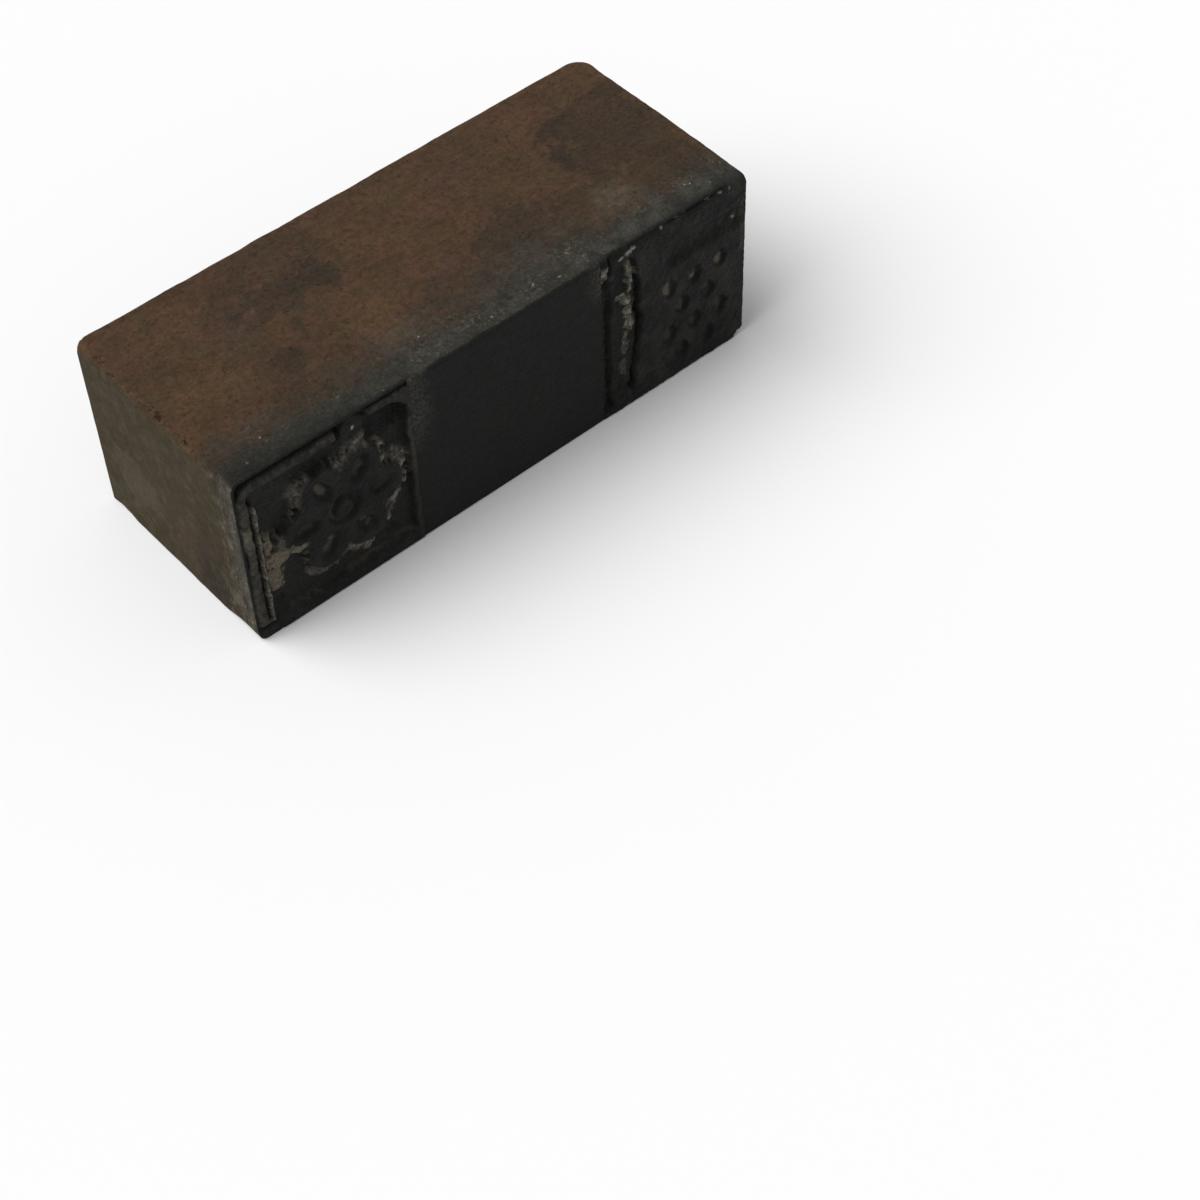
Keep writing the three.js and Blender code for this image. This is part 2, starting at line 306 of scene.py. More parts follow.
def layered(tree, colour, look, clouds, rows):
    # lays the rows' colours one over another; also gives how much there is of each
    amounts = {}
    for maskName, cloudName, ramp, name in rows:
        parts = [mask(tree, maskName)] if maskName else []
        if cloudName:
            parts.append(between(tree, clouds[cloudName], *ramp) if ramp else clouds[cloudName])
        amounts[name] = times(tree, *parts)
        colour = blend(tree, amounts[name], colour, look[name])
    return colour, amounts


def dress(tree, look, relief, sockets):
    # links the shader; relief is the height of the fine unevenness
    shader = tree.nodes["Principled BSDF"].inputs
    strength, depth = look["bump"]
    bump = put(tree, "ShaderNodeBump", {"Height": relief, "Strength": strength, "Distance": depth * mm})
    for name, value in sockets.items():
        feed(tree, shader[name], value)
    feed(tree, shader["Normal"], bump.outputs[0])


grimeLook = dict(
    ink=(0.0222, 0.0223, 0.0186),
    powder=(0.0555, 0.0535, 0.0442),
    dark=(0.0125, 0.0125, 0.0108),
    dirt=(0.056, 0.0395, 0.0262),  # brown dust where the ink thins out
    # pale flecks; the metal's painted glints take this colour too
    fleck=(0.29, 0.27, 0.23),
    fleckSize=0.48,
    fleckShare=0.1,
    grit=(0.098, 0.096, 0.082),
    scuff=(0.112, 0.100, 0.076),
    dent=(0.037, 0.0305, 0.020),
)


def inkFilm(tree, place):
    look = grimeLook
    colours = dict(Ink=look["ink"], Powder=look["powder"], Dark=look["dark"])
    amounts = dict(Dusting=mask(tree, "dust"), Dim=mask(tree, "dim"))
    return useGroup(tree, "grime", Position=place, **colours, **amounts)["Colour"]


def rubbedEnd(tree, place, base, amount):
    colours = dict(Base=base, Pale=grimeLook["scuff"], Dark=grimeLook["dent"])
    return useGroup(tree, "scuffs", Position=place, Amount=amount, **colours)["Colour"]


def paleFlecks(tree, place):
    share = times(tree, mask(tree, "fleck"), grimeLook["fleckShare"])
    return useGroup(tree, "flecks", Position=place, Size=grimeLook["fleckSize"], Share=share)["Mask"]


# the wood

woodLook = dict(
    paleBrown=(0.078, 0.0452, 0.0262),
    deepBrown=(0.0535, 0.0332, 0.0198),
    redBrown=(0.078, 0.0412, 0.030),
    olive=(0.0575, 0.0438, 0.0247),
    gold=(0.0855, 0.0498, 0.0235),
    rose=(0.0745, 0.0438, 0.0355),
    stain=(0.0295, 0.0242, 0.0182),
    palePatch=(0.094, 0.074, 0.053),
    endPale=(0.0625, 0.0468, 0.0283),
    endDark=(0.0468, 0.0365, 0.0218),
    endLight=(0.0775, 0.0632, 0.0412),
    endGreen=(0.0515, 0.0452, 0.0278),
    endRed=(0.072, 0.042, 0.029),
    inkFace=(0.0145, 0.0146, 0.0138),
    bareWood=(0.105, 0.058, 0.033),
    hole=(0.027, 0.0142, 0.008),
    specular=0.06,
    bump=(0.55, 0.08),  # strength, depth
    fibre=(0.4, 14.0),  # spacing, stretch
    clouds=dict(  # size, offset, contrast
        broad=(5.0, 0.0, 2.6), hue=(3.2, 19.0, 2.6), flicker=(1.3, 61.0, 2.8),
        small=(0.9, 31.0, 2.4), gritty=(0.36, 13.0, 2.6), fine=(0.13, 7.0, 2.8),
    ),
    specks=dict(  # size, level, offset
        holes=(0.7, 0.5, 33.0), pits=(0.38, 0.61, 4.0), crumbs=(0.36, 0.68, 15.0), grits=(0.4, 0.57, 9.0),
    ),
    longSides=[  # over the first brown: mask, cloud, the cloud's range and what it becomes, colour
        (None, "broad", None, "paleBrown"),
        (None, "hue", (0.55, 1.0, 0.0, 0.5), "redBrown"),
        (None, "hue", (0.5, 0.0, 0.0, 0.5), "olive"),
        ("golden", "broad", None, "gold"),
        ("rosy", None, None, "rose"),
        (None, "flicker", (0.55, 0.95, 0.0, 0.5), "olive"),
        (None, "flicker", (0.45, 0.05, 0.0, 0.5), "redBrown"),
        ("stain", "small", (0.0, 0.8, 0.75, 1.0), "stain"),
        ("pale", "small", (0.2, 0.8, 0.4, 1.0), "palePatch"),
        ("edge", "small", (0.45, 0.8, 0.0, 0.18), "bareWood"),
    ],
    ends=[  # over the ends' dark tan, in the same form
        (None, "broad", None, "endPale"),
        (None, "hue", (0.5, 1.0, 0.0, 0.7), "endGreen"),
        (None, "flicker", (0.55, 0.95, 0.0, 0.5), "endLight"),
        (None, "flicker", (0.45, 0.05, 0.0, 0.6), "endDark"),
        ("stain", None, None, "stain"),
        ("rosy", "small", (0.3, 0.7), "endRed"),
        ("pale", None, None, "endLight"),
    ],
    vary=dict(gritty=(0.86, 1.14), small=(0.9, 1.1), fine=(0.88, 1.12)),  # how far each cloud shades it
    streaks=(0.93, 1.07),
    poreShade=0.9,
    pitShade=0.72,
    calm=0.45,  # the ends are more even
    crumbShare=0.3,
    roughness=(0.78, 0.95),
    faceRoughness=(0.5, 0.68),
)


def stainedWood():
    look = woodLook
    material, tree, place, clouds = cloudedMaterial("stained wood", look)
    spots = {key: specks(tree, place, *row) for key, row in look["specks"].items()}
    spacing, stretch = look["fibre"]
    fibre = useGroup(tree, "grain", Position=place, Spacing=spacing, Stretch=stretch)
    small, gritty, fine = (clouds[name] for name in ("small", "gritty", "fine"))
    face, end, ink = (mask(tree, name) for name in ("face", "end", "ink"))
    brown, _ = layered(tree, look["deepBrown"], look, clouds, look["longSides"])
    tan, _ = layered(tree, look["endDark"], look, clouds, look["ends"])
    brown = blend(tree, end, brown, rubbedEnd(tree, place, tan, mask(tree, "scuff")))
    ragged = calc(tree, "MULTIPLY_ADD", gritty, 0.7, -0.35)
    crumbled = between(tree, calc(tree, "ADD", mask(tree, "chip"), ragged), 0.4, 0.9, 0.0, 0.3)
    brown = blend(tree, crumbled, brown, look["bareWood"])
    holed = between(tree, calc(tree, "ADD", mask(tree, "pit"), ragged), 0.2, 0.7, 0.0, 0.9)
    brown = blend(tree, times(tree, holed, spots["holes"]), brown, look["hole"])

    inked = clamped(tree, calc(tree, "ADD", ink, spread(tree, small, -0.14, 0.14)))
    inked = times(tree, inked, between(tree, ink, 0.0, 0.2))
    colour = blend(tree, inked, brown, inkFilm(tree, place))
    dusty = times(tree, mask(tree, "powder"), between(tree, gritty, 0.1, 0.9, 0.3, 1.0))
    colour = blend(tree, face, colour, blend(tree, dusty, look["inkFace"], grimeLook["powder"]))

    shade = {key: spread(tree, clouds[key], *ends) for key, ends in look["vary"].items()}
    streaked = between(tree, fibre["Streak"], 0.25, 0.75, *look["streaks"])
    streaked = times(tree, streaked, spread(tree, fibre["Pore"], 1.0, look["poreShade"]))
    grainy = times(tree, shade["gritty"], shade["small"], streaked)
    grainy = blendValue(tree, times(tree, end, look["calm"]), grainy, 1.0)
    grainy = times(tree, grainy, shade["fine"], spread(tree, spots["pits"], 1.0, look["pitShade"]))
    colour = blend(tree, 1.0, colour, grainy, "MULTIPLY")
    crumbs = times(tree, spots["crumbs"], calc(tree, "SUBTRACT", 1.0, face), look["crumbShare"])
    colour = blend(tree, crumbs, colour, grimeLook["scuff"])
    grits = times(tree, spots["grits"], between(tree, mask(tree, "fleck"), 0.1, 1.0, 0.0, 0.5))
    colour = blend(tree, grits, colour, grimeLook["grit"])
    colour = blend(tree, paleFlecks(tree, place), colour, grimeLook["fleck"])

    rough = spread(tree, fine, *look["roughness"])
    rough = blendValue(tree, face, rough, spread(tree, small, *look["faceRoughness"]))
    relief = calc(tree, "MULTIPLY_ADD", gritty, 0.8, times(tree, fine, 0.35))
    relief = calc(tree, "MULTIPLY_ADD", spots["pits"], -1.5, relief)
    relief = calc(tree, "MULTIPLY_ADD", fibre["Streak"], 0.6, relief)
    dress(tree, look, relief, {"Base Color": colour, "Roughness": rough})
    return material


# the metal under its ink

metalLook = dict(
    ink=(0.0098, 0.0098, 0.0092),
    greyInk=(0.0185, 0.0182, 0.0162),
    lowInk=(0.0205, 0.02, 0.0175),  # in the cut-away ground, greyed by dust
    # grey of rubbed ink on rails and raised places; on the upper bead's lit half and down the right plate's
    # outer edge it is painted highlight
    rubbedAndHighlight=(0.052, 0.049, 0.039),
    bare=(0.145, 0.138, 0.115),
    residue=(0.195, 0.171, 0.125),
    paintedShade=(0.0038, 0.0038, 0.0036),  # painted shade, near black, in corners, hollows and beside raised parts
    end=(0.059, 0.0485, 0.0335),
    endGrey=(0.060, 0.0555, 0.0445),
    specular=0.07,
    bareMetal=0.2,  # how metallic the bare places are
    vary=dict(gritty=(0.85, 1.15), fine=(0.8, 1.2)),
    roughness=(0.42, 0.62),
    matt=0.28,  # how much rougher the sides and the bare and crusted places are
    bump=(0.55, 0.08),
    clouds=dict(
        broad=(2.2, 3.0, 2.4), small=(0.6, 12.0, 2.4), gritty=(0.3, 21.0, 2.6), fine=(0.14, 5.0, 2.4),
    ),
    film=[  # over the ink, in the wood's form
        (None, "broad", (0.3, 0.9), "greyInk"),
        ("low", None, None, "lowInk"),
        ("rubAndHighlight", "small", (0.15, 0.75, 0.2, 1.0), "rubbedAndHighlight"),
        ("paintedShade", None, None, "paintedShade"),
        ("bare", "gritty", (0.1, 0.6, 0.5, 1.0), "bare"),
        ("residue", "small", (0.1, 0.6, 0.6, 1.0), "residue"),
    ],
)


def inkedMetal():
    look = metalLook
    material, tree, place, clouds = cloudedMaterial("inked metal", look)
    small, gritty, fine = (clouds[name] for name in ("small", "gritty", "fine"))
    film, amounts = layered(tree, look["ink"], look, clouds, look["film"])
    side = mask(tree, "side")
    over = blend(tree, mask(tree, "ink"), grimeLook["dirt"], inkFilm(tree, place))
    end = blend(tree, mask(tree, "dim"), look["end"], look["endGrey"])
    over = blend(tree, mask(tree, "end"), over, rubbedEnd(tree, place, end, 1.0))
    colour = blend(tree, side, film, over)
    grainy = times(tree, *(spread(tree, clouds[key], *ends) for key, ends in look["vary"].items()))
    colour = blend(tree, 1.0, colour, grainy, "MULTIPLY")
    # painted highlights: pale glints on bare and knocked places, in the fleck colour
    glints = times(tree, mask(tree, "glint"), between(tree, gritty, 0.25, 0.6, 0.2, 1.0))
    glints = calc(tree, "MAXIMUM", paleFlecks(tree, place), glints)
    colour = blend(tree, glints, colour, grimeLook["fleck"])
    matt = calc(tree, "MAXIMUM", calc(tree, "MAXIMUM", side, amounts["residue"]), amounts["bare"])
    rough = calc(tree, "MULTIPLY_ADD", matt, look["matt"], spread(tree, small, *look["roughness"]))
    metallic = times(tree, amounts["bare"], look["bareMetal"])
    relief = calc(tree, "MULTIPLY_ADD", fine, 0.6, calc(tree, "MULTIPLY_ADD", gritty, 1.3, small))
    dress(tree, look, relief, {"Base Color": colour, "Roughness": rough, "Metallic": metallic})
    return material


nailLook = dict(
    ink=(0.0105, 0.0105, 0.0096),
    steel=(0.021, 0.0205, 0.018),
    # rubbed bare steel on the crown, pale as a painted highlight
    bright=(0.30, 0.285, 0.25),
    specular=0.1,
    brightMetal=0.6,
    roughness=(0.4, 0.62),
    bump=(0.3, 0.03),
    clouds=dict(small=(0.3, 9.0, 2.6)),
    crown=[(None, "small", (0.3, 0.8), "steel"), ("crown", "small", (0.3, 0.7), "bright")],
)


def inkedSteel():
    look = nailLook
    material, tree, _, clouds = cloudedMaterial("inked steel", look)
    colour, amounts = layered(tree, look["ink"], look, clouds, look["crown"])
    rough = spread(tree, clouds["small"], *look["roughness"])
    metallic = times(tree, amounts["bright"], look["brightMetal"])
    dress(tree, look, clouds["small"], {"Base Color": colour, "Roughness": rough, "Metallic": metallic})
    return material


finish = dict(wood=stainedWood(), metal=inkedMetal(), steel=inkedSteel())
print("materials made:", ", ".join(finish))


# the block

blockLook = dict(
    step=0.27,
    nearEdges=(0.06, 0.13, 0.21, 0.31, 0.43, 0.58, 0.77, 1.0),
    corner=0.45,
    wornCorner=2.0,  # back right upright corner
    arris=0.28,
    arrisVary=0.14,
    arrisRange=(0.1, 0.95),
    faceArris=0.5,  # above the printing face
    footArris=0.14,  # below it
    bedCorners={(-1, 1): 1.05, (1, 1): 0.35, (-1, -1): 0.85, (1, -1): 0.5},  # the ends' edges by the plates
    bedReach=3.5,  # how far back those edges are worn
    bedGap=0.1,
    leftJoint=0.12,
    rightJoint=0.85,
    flush=0.05,  # the plates lie this far inside the block's faces
    sway=0.035,
    dent=0.02,
    fibre=0.01,
    chips=[  # x, y, z, reach, depth
        (-29.0, 7.6, 20.0, 0.7, 0.22), (-29.0, 5.9, 20.0, 0.5, 0.25), (-29.0, 3.4, 20.0, 0.6, 0.22),
        (-29.0, 0.2, 20.0, 0.8, 0.4), (-29.0, -1.0, 20.0, 0.6, 0.32), (-29.0, -4.3, 20.0, 0.9, 0.42),
        (-29.0, -5.6, 20.0, 0.6, 0.28), (29.0, 4.0, 20.0, 1.6, 0.05), (29.0, 8.6, 20.0, 1.4, 0.04),
        (-29.0, 11.2, 20.0, 1.2, 0.25), (-29.0, 9.5, 0.0, 1.6, 0.1), (29.0, 2.5, 0.0, 1.3, 0.25),
        (-8.0, 11.7, 0.0, 1.1, 0.2),
    ],
    pits=[  # crumbled places on the left upper edge: y, half length, strength
        (7.6, 0.6, 0.5), (5.9, 0.6, 0.65), (3.6, 0.5, 0.45), (-0.2, 1.5, 0.85), (-4.4, 1.0, 0.75),
        (-5.9, 0.6, 0.45),
    ],
    topFade=(18.0, 19.6),  # heights over which the marks of the upper side come in
    drift=1.1,  # how far its marks are bent out of round
    stains=[  # x, y, half length, half width, strength
        (23.6, 0.6, 6.4, 5.8, 0.62), (20.2, 5.2, 2.8, 1.6, 0.85), (18.1, 1.8, 1.4, 2.6, 0.8),
        (19.4, -2.4, 1.8, 2.6, 0.7), (25.9, 6.0, 3.6, 1.5, 0.5), (-8.0, 4.5, 2.0, 2.5, 0.75),
        (-12.4, 4.8, 5.6, 1.6, 0.72), (-13.4, 2.4, 3.4, 1.2, 0.62), (-16.6, -3.2, 1.5, 2.9, 0.65),
        (-13.4, -0.2, 0.6, 2.0, 0.5), (-9.8, 8.2, 6.0, 3.0, 0.34), (8.5, -3.2, 4.6, 3.2, 0.66),
        (8.3, -0.9, 2.0, 1.0, 0.6), (-20.5, -6.0, 6.5, 2.0, 0.3), (-13.8, -6.4, 4.0, 1.8, 0.4),
        (24.6, -5.2, 6.0, 3.4, 0.5), (15.5, -4.6, 4.0, 2.6, 0.35), (0.5, -5.6, 7.0, 2.2, 0.4),
        (-21.0, -3.6, 7.0, 2.6, 0.22),
    ],
    golden=[(-25.0, -1.5, 5.0, 4.4, 0.9), (-7.3, -3.0, 3.6, 1.8, 0.6), (0.5, 3.5, 7.0, 5.0, 0.3)],
    rosy=[
        (-16.6, 3.8, 3.6, 1.7, 0.6), (25.1, 3.8, 2.8, 2.0, 0.5), (8.1, 6.4, 1.8, 1.4, 0.4),
        (0.8, -3.4, 2.2, 1.6, 0.45), (24.0, -1.0, 3.0, 1.4, 0.35),
    ],
    palePatches=[(18.2, -6.2, 2.6, 2.4, 0.6), (-25.2, -7.2, 3.6, 1.6, 0.4), (-7.4, -7.2, 3.6, 2.2, 0.5)],
    endStains=[(-5.2, 2.2, 2.4, 5.0, 0.85), (-6.6, 8.0, 2.4, 4.5, 0.4)],  # y, z, half sizes, strength
    endPale=[(5.4, 6.8, 4.2, 3.6, 0.85), (9.4, 2.4, 2.4, 2.0, 0.4)],
    endPaleTop=(10.1, 10.4),  # heights at which the ends' pale patch stops
    endRosy=[(-8.2, 8.6, 1.2, 2.6, 0.8), (-3.0, 5.0, 3.4, 2.2, 0.35)],
    faceFade=(0.12, 0.36),  # the printing face's own ink ends this far back
    fleckBand=(2.0, 0.9, 3.2),  # flecks along the upper edge: how far back, full and faded half width
)

bandLook = dict(
    reach=6.9,  # how far ink runs up from the printing face
    tongues=[(7.5, 7.2, 3.2), (-4.5, 5.0, 1.2), (-21.0, 5.0, 0.3)],  # x, half length, extra reach
    places=(-28.0, -23.0, -19.0, -9.0, 10.0, 14.0),  # along the block, for the next two
    dim=(3.4, 2.2, 2.2, 0.4, 0.4, 1.7),  # how far back the darkest ink lies
    dust=(0.1, 0.25, 0.25, 0.5, 0.6, 0.72),
)


def unevenness(points):
    return wobble(points, 2.4, 5, 4), wobble(points, 0.8, 7, 4)


def inkBand(points, fromFace):
    # ink run up from the printing face: how much, how dark beside it and how dusty
    look = bandLook
    x = points[:, 0]
    soft, rough = unevenness(points)
    reach = look["reach"] + 0.8 * wobble(points * np.array((1.0, 0.3, 0.3)), 5.0, 6, 3)
    for cx, half, extra in look["tongues"]:
        reach = reach + extra * fadeOut(np.abs(x - cx), 0.2 * half, 1.3 * half)
    ink = fadeOut(fromFace + 0.6 * soft + 0.4 * rough, 1.1, reach)
    darkReach = np.interp(x, look["places"], look["dim"]) * (1.0 + 0.5 * soft)
    dim = fadeOut(fromFace + 0.25 * rough, 0.05, darkReach)
    return dict(ink=ink, dim=dim, dust=np.interp(x, look["places"], look["dust"]))


def gridLine(stops, step, nearEdges):
    # places through every stop, closer together at both ends
    inner = [stops[0] + nearEdges[-1]] + list(stops[1:-1]) + [stops[-1] - nearEdges[-1]]
    line = [stops[0]] + [stops[0] + d for d in nearEdges[:-1]]
    for a, b in zip(inner, inner[1:]):
        line += list(np.linspace(a, b, max(1, round((b - a) / step)) + 1)[:-1])
    line += [stops[-1] - d for d in reversed(nearEdges)] + [stops[-1]]
    return np.array(line)


def uprightSolid(xs, ys, zs, filled):
    # an upright solid whose plan is a set of grid cells
    numbers, faces = {}, []
    taken, top = np.pad(filled, 1), len(zs) - 1

    def corner(place, k):
        return numbers.setdefault((*place, k), len(numbers))

    for i, j in np.argwhere(filled).tolist():
        ring = [(i, j), (i + 1, j), (i + 1, j + 1), (i, j + 1)]
        faces.append([corner(place, top) for place in ring])
        faces.append([corner(place, 0) for place in reversed(ring)])
        left, right = taken[i, j + 1], taken[i + 2, j + 1]
        front, back = taken[i + 1, j], taken[i + 1, j + 2]
        for covered, first, second in ((left, 3, 0), (right, 1, 2), (front, 0, 1), (back, 2, 3)):
            a, b = ring[first], ring[second]
            for k in range(0 if covered else top):
                faces.append([corner(a, k), corner(b, k), corner(b, k + 1), corner(a, k + 1)])
    keys = np.array(list(numbers))
    return np.stack([xs[keys[:, 0]], ys[keys[:, 1]], zs[keys[:, 2]]], 1), faces


def roundCorners(x, y, low, high, radii):
    # bends a flat outline's corners; also gives the distance in from the outline and the way out
    inside = np.minimum(np.minimum(x - low[0], high[0] - x), np.minimum(y - low[1], high[1] - y))
    outX = np.where(inside == x - low[0], -1.0, np.where(inside == high[0] - x, 1.0, 0.0))
    outY = np.where(outX != 0, 0.0, np.where(inside == y - low[1], -1.0, 1.0))
    for (sideX, sideY), radius in radii.items():
        centreX = (high[0] - radius) if sideX > 0 else (low[0] + radius)
        centreY = (high[1] - radius) if sideY > 0 else (low[1] + radius)
        a, b = (x - centreX) * sideX, (y - centreY) * sideY
        here = (a > 0) & (b > 0)
        length = most(np.hypot(a, b), tiny)
        reach = most(a, b)
        x = np.where(here, centreX + sideX * a * reach / length, x)
        y = np.where(here, centreY + sideY * b * reach / length, y)
        inside = np.where(here, radius - reach, inside)
        outX = np.where(here, sideX * a / length, outX)
        outY = np.where(here, sideY * b / length, outY)
    return x, y, inside, outX, outY


def roundArrises(x, y, z, inside, outX, outY, low, high, radius):
    # bends the upper and lower edges to this radius
    above = z > (low + high) / 2
    depth = np.where(above, high - z, z - low)
    a, b = radius - inside, radius - depth
    here = (a > 0) & (b > 0)
    ratio = np.where(here, most(a, b) / most(np.hypot(a, b), tiny), 1.0)
    shift = np.where(here, a - a * ratio, 0.0)
    newDepth = np.where(here, radius - b * ratio, depth)
    z = np.where(above, high - newDepth, low + newDepth)
    return x - outX * shift, y - outY * shift, z


def outward(points, low, high, margin=2.0):
    inner = np.clip(points, np.array(low) + margin, np.array(high) - margin)
    away = points - inner
    return away / most(np.linalg.norm(away, axis=1, keepdims=True), tiny)


def woodMasks(plain, way, edge, jointLeft, jointRight, low, high):
    look = blockLook
    x, y, z = plain.T
    soft, rough = unevenness(plain)
    driftX = x + look["drift"] * wobble(plain, 3.0, 8, 3)
    driftY = y + look["drift"] * wobble(plain, 3.0, 9, 3)
    onTop, fromFace = fade(z, *look["topFade"]), y - low.y
    upper = fade(z, 18.9, 19.5)
    end = fade(np.abs(way[:, 0]) + 0.16 * rough * upper, 0.4 + 0.28 * upper, 0.65 + 0.25 * upper)
    end = most(end, fade(np.abs(x), high.x - 0.9, high.x - 0.6) * fadeOut(z, 0.5, 1.0))
    onEnd, ragged = end * (1.0 - onTop), 0.3 * soft + 0.3 * rough

    def above(name, uneven, softness):
        return patches(driftX, driftY, look[name], uneven, softness) * onTop

    def atEnds(name, softness):
        return patches(y, z, look[name], ragged, softness)

    elsewhere = 0.6 * fade(wobble(plain, 6.0, 10, 4), 0.05, 0.5) * (1.0 - onTop) * (1.0 - end)
    stain = most(above("stains", ragged + 0.2 * rough, 0.45), elsewhere, atEnds("endStains", 0.6) * onEnd)
    endPale = atEnds("endPale", 0.4) * end * fadeOut(z, *look["endPaleTop"])
    pale = most(above("palePatches", 0.4 * soft + 0.3 * rough, 0.6), endPale)
    golden = above("golden", ragged, 0.8)
    rosy = most(above("rosy", ragged, 0.8), atEnds("endRosy", 0.8) * onEnd)
    band = inkBand(plain, fromFace)
    band["ink"] = band["ink"] * (1.0 - end * fade(fromFace, 0.2, 0.6))
    face = fadeOut(fromFace + 0.06 * rough, *look["faceFade"])
    scuff = 0.15 + 0.85 * fadeOut(fromFace + 0.9 * soft + 0.5 * rough, 1.8, 7.0 - 0.15 * z)
    scattered = fade(soft + 0.25 * fade(x, -14.0, 14.0), -0.1, 0.45)
    back, full, faded = look["fleckBand"]
    fleck = onTop * fadeOut(np.abs(fromFace - back), full, faded) * scattered
    fleck = most(fleck, 0.8 * end * fadeOut(fromFace, 1.6, 3.4))
    dusty = fadeOut(x - jointLeft + 0.5 * rough + 0.5 * soft, 0.3, 2.9) * fade(z, 9.5, 15.0)
    bySlot = fadeOut(jointRight - x + 0.5 * rough, 0.2, 2.0)
    dusty = most(dusty, 0.8 * bySlot * fade(z, 14.5, 17.0))
    lip = fadeOut(jointRight - x, 0.3, 0.7) * fade(z, 15.0, 16.5) * (fromFace < 0.6)
    fleck = most(fleck * fade(fromFace, 0.3, 0.6), lip * (x < jointRight + 0.01))
    chip, pit = np.zeros(len(x)), np.zeros(len(x))
    for cx, cy, cz, size, _ in look["chips"]:
        far = np.linalg.norm(plain - np.array((cx, cy, cz)), axis=1)
        chip = most(chip, fadeOut(far + 0.2 * rough, 0.4 * size, 1.2 * size))
    crumbly = wobble(plain, 0.45, 12, 3)
    across = np.hypot(x - low.x - 0.15, z - high.z) / 0.5
    for cy, half, strength in look["pits"]:
        near = fadeOut(np.hypot(across, (y - cy) / half) + 0.9 * crumbly, 0.5, 1.2)
        pit = most(pit, strength * near)
    nearEdge = fadeOut(edge, 0.15, 0.9) * fade(z, 9.0, 11.0)
    return dict(stain=stain, pale=pale, golden=golden, rosy=rosy, face=face, end=end, scuff=scuff,
                fleck=fleck, powder=dusty, chip=chip, pit=pit, edge=nearEdge, **band)


def woodBlock():
    look = blockLook
    low, high = block
    leftPlate, rightPlate = boxInMm("left_relief_plate"), boxInMm("right_relief_plate")
    jointLeft = leftPlate[1].x + look["leftJoint"]
    jointRight = rightPlate[0].x - look["rightJoint"]
    bed = leftPlate[1].y + look["bedGap"]
    stops = ([low.x, jointLeft, jointRight, high.x], [low.y, bed, high.y], [low.z, high.z])
    xs, ys, zs = (gridLine(line, look["step"], look["nearEdges"]) for line in stops)
    midX, midY = (xs[1:] + xs[:-1]) / 2, (ys[1:] + ys[:-1]) / 2
    rebated = (midX < jointLeft) | (midX > jointRight)
    plain, faces = uprightSolid(xs, ys, zs, ~(rebated[:, None] & (midY < bed)[None, :]))

    radii = {(sideX, sideY): look["corner"] for sideX in (-1, 1) for sideY in (-1, 1)}
    radii[1, 1] = look["wornCorner"]
    plainX, plainY, plainZ = plain.T
    x, y, inside, outX, outY = roundCorners(plainX, plainY, low, high, radii)
    uneven = look["arrisVary"] * wobble(plain, 3.5, 1, 4)
    byFace = fadeOut(plainY - low.y, 0.8, 2.0)
    upperHalf = plainZ > (low.z + high.z) / 2
    faceRadius = np.where(upperHalf, look["faceArris"], look["footArris"])
    radius = mixed(byFace, look["arris"] + uneven, faceRadius + uneven * 0.4)
    radius = np.clip(radius, *look["arrisRange"])
    byBed = fadeOut(plainY - bed, 0.0, look["bedReach"])
    for (side, level), wornTo in look["bedCorners"].items():
        fromEnd = (plainX - low.x) if side < 0 else (high.x - plainX)
        here = byBed * (upperHalf == (level > 0)) * fadeOut(fromEnd, 1.2, 1.8)
        radius = mixed(here, radius, wornTo)
    points = np.stack(roundArrises(x, y, plainZ, inside, outX, outY, low.z, high.z, radius), 1)
    way = outward(plain, low, high)
    fromTop = np.minimum(plainZ - low.z, high.z - plainZ)
    edge = most(inside, fromTop)
    lift = look["sway"] * wobble(plain, 9.0, 2, 2)
    lift += look["dent"] * wobble(plain, 1.7, 3, 3) * (2.0 - fade(edge, 0.2, 1.6))
    lift += look["fibre"] * wobble(plain * np.array((0.12, 1.0, 1.0)), 0.7, 4, 2)
    lift = mixed(fadeOut(plainY - bed, 0.3, 2.5), np.minimum(lift, 0.0), -look["flush"])
    broken = wobble(plain, 0.6, 13, 3)
    for cx, cy, cz, size, depth in look["chips"]:
        far = np.linalg.norm((plain - np.array((cx, cy, cz))) * np.array((1.0, 0.7, 1.0)), axis=1)
        lift -= depth * fadeOut(far + 0.3 * broken, 0.15 * size, size)
    points = points + way * lift[:, None]
    points[:, 1:] = most(points[:, 1:], np.array((low.y, low.z)))
    masks = woodMasks(plain, way, edge, jointLeft, jointRight, low, high)
    makePiece("worn_block", points, faces, masks, finish["wood"], "wood_block")
    print("block made:", len(points), "points")


woodBlock()


# the plates, as fine height fields; u runs from the block's left end, t down from its top

def boxField(u, t, u0, t0, u1, t1, radius):
    a = np.abs(u - (u0 + u1) / 2) - (u1 - u0) / 2 + radius
    b = np.abs(t - (t0 + t1) / 2) - (t1 - t0) / 2 + radius
    return np.hypot(most(a, 0), most(b, 0)) + np.minimum(most(a, b), 0) - radius


def discField(u, t, cu, ct, radius):
    return np.hypot(u - cu, t - ct) - radius


def raised(height, field, top, wall):
    amount = fade(-field, -wall / 2, wall / 2)
    return np.where(top > height, mixed(amount, height, top), height)


def sunk(height, field, bottom, wall):
    return -raised(-height, field, -bottom, wall)


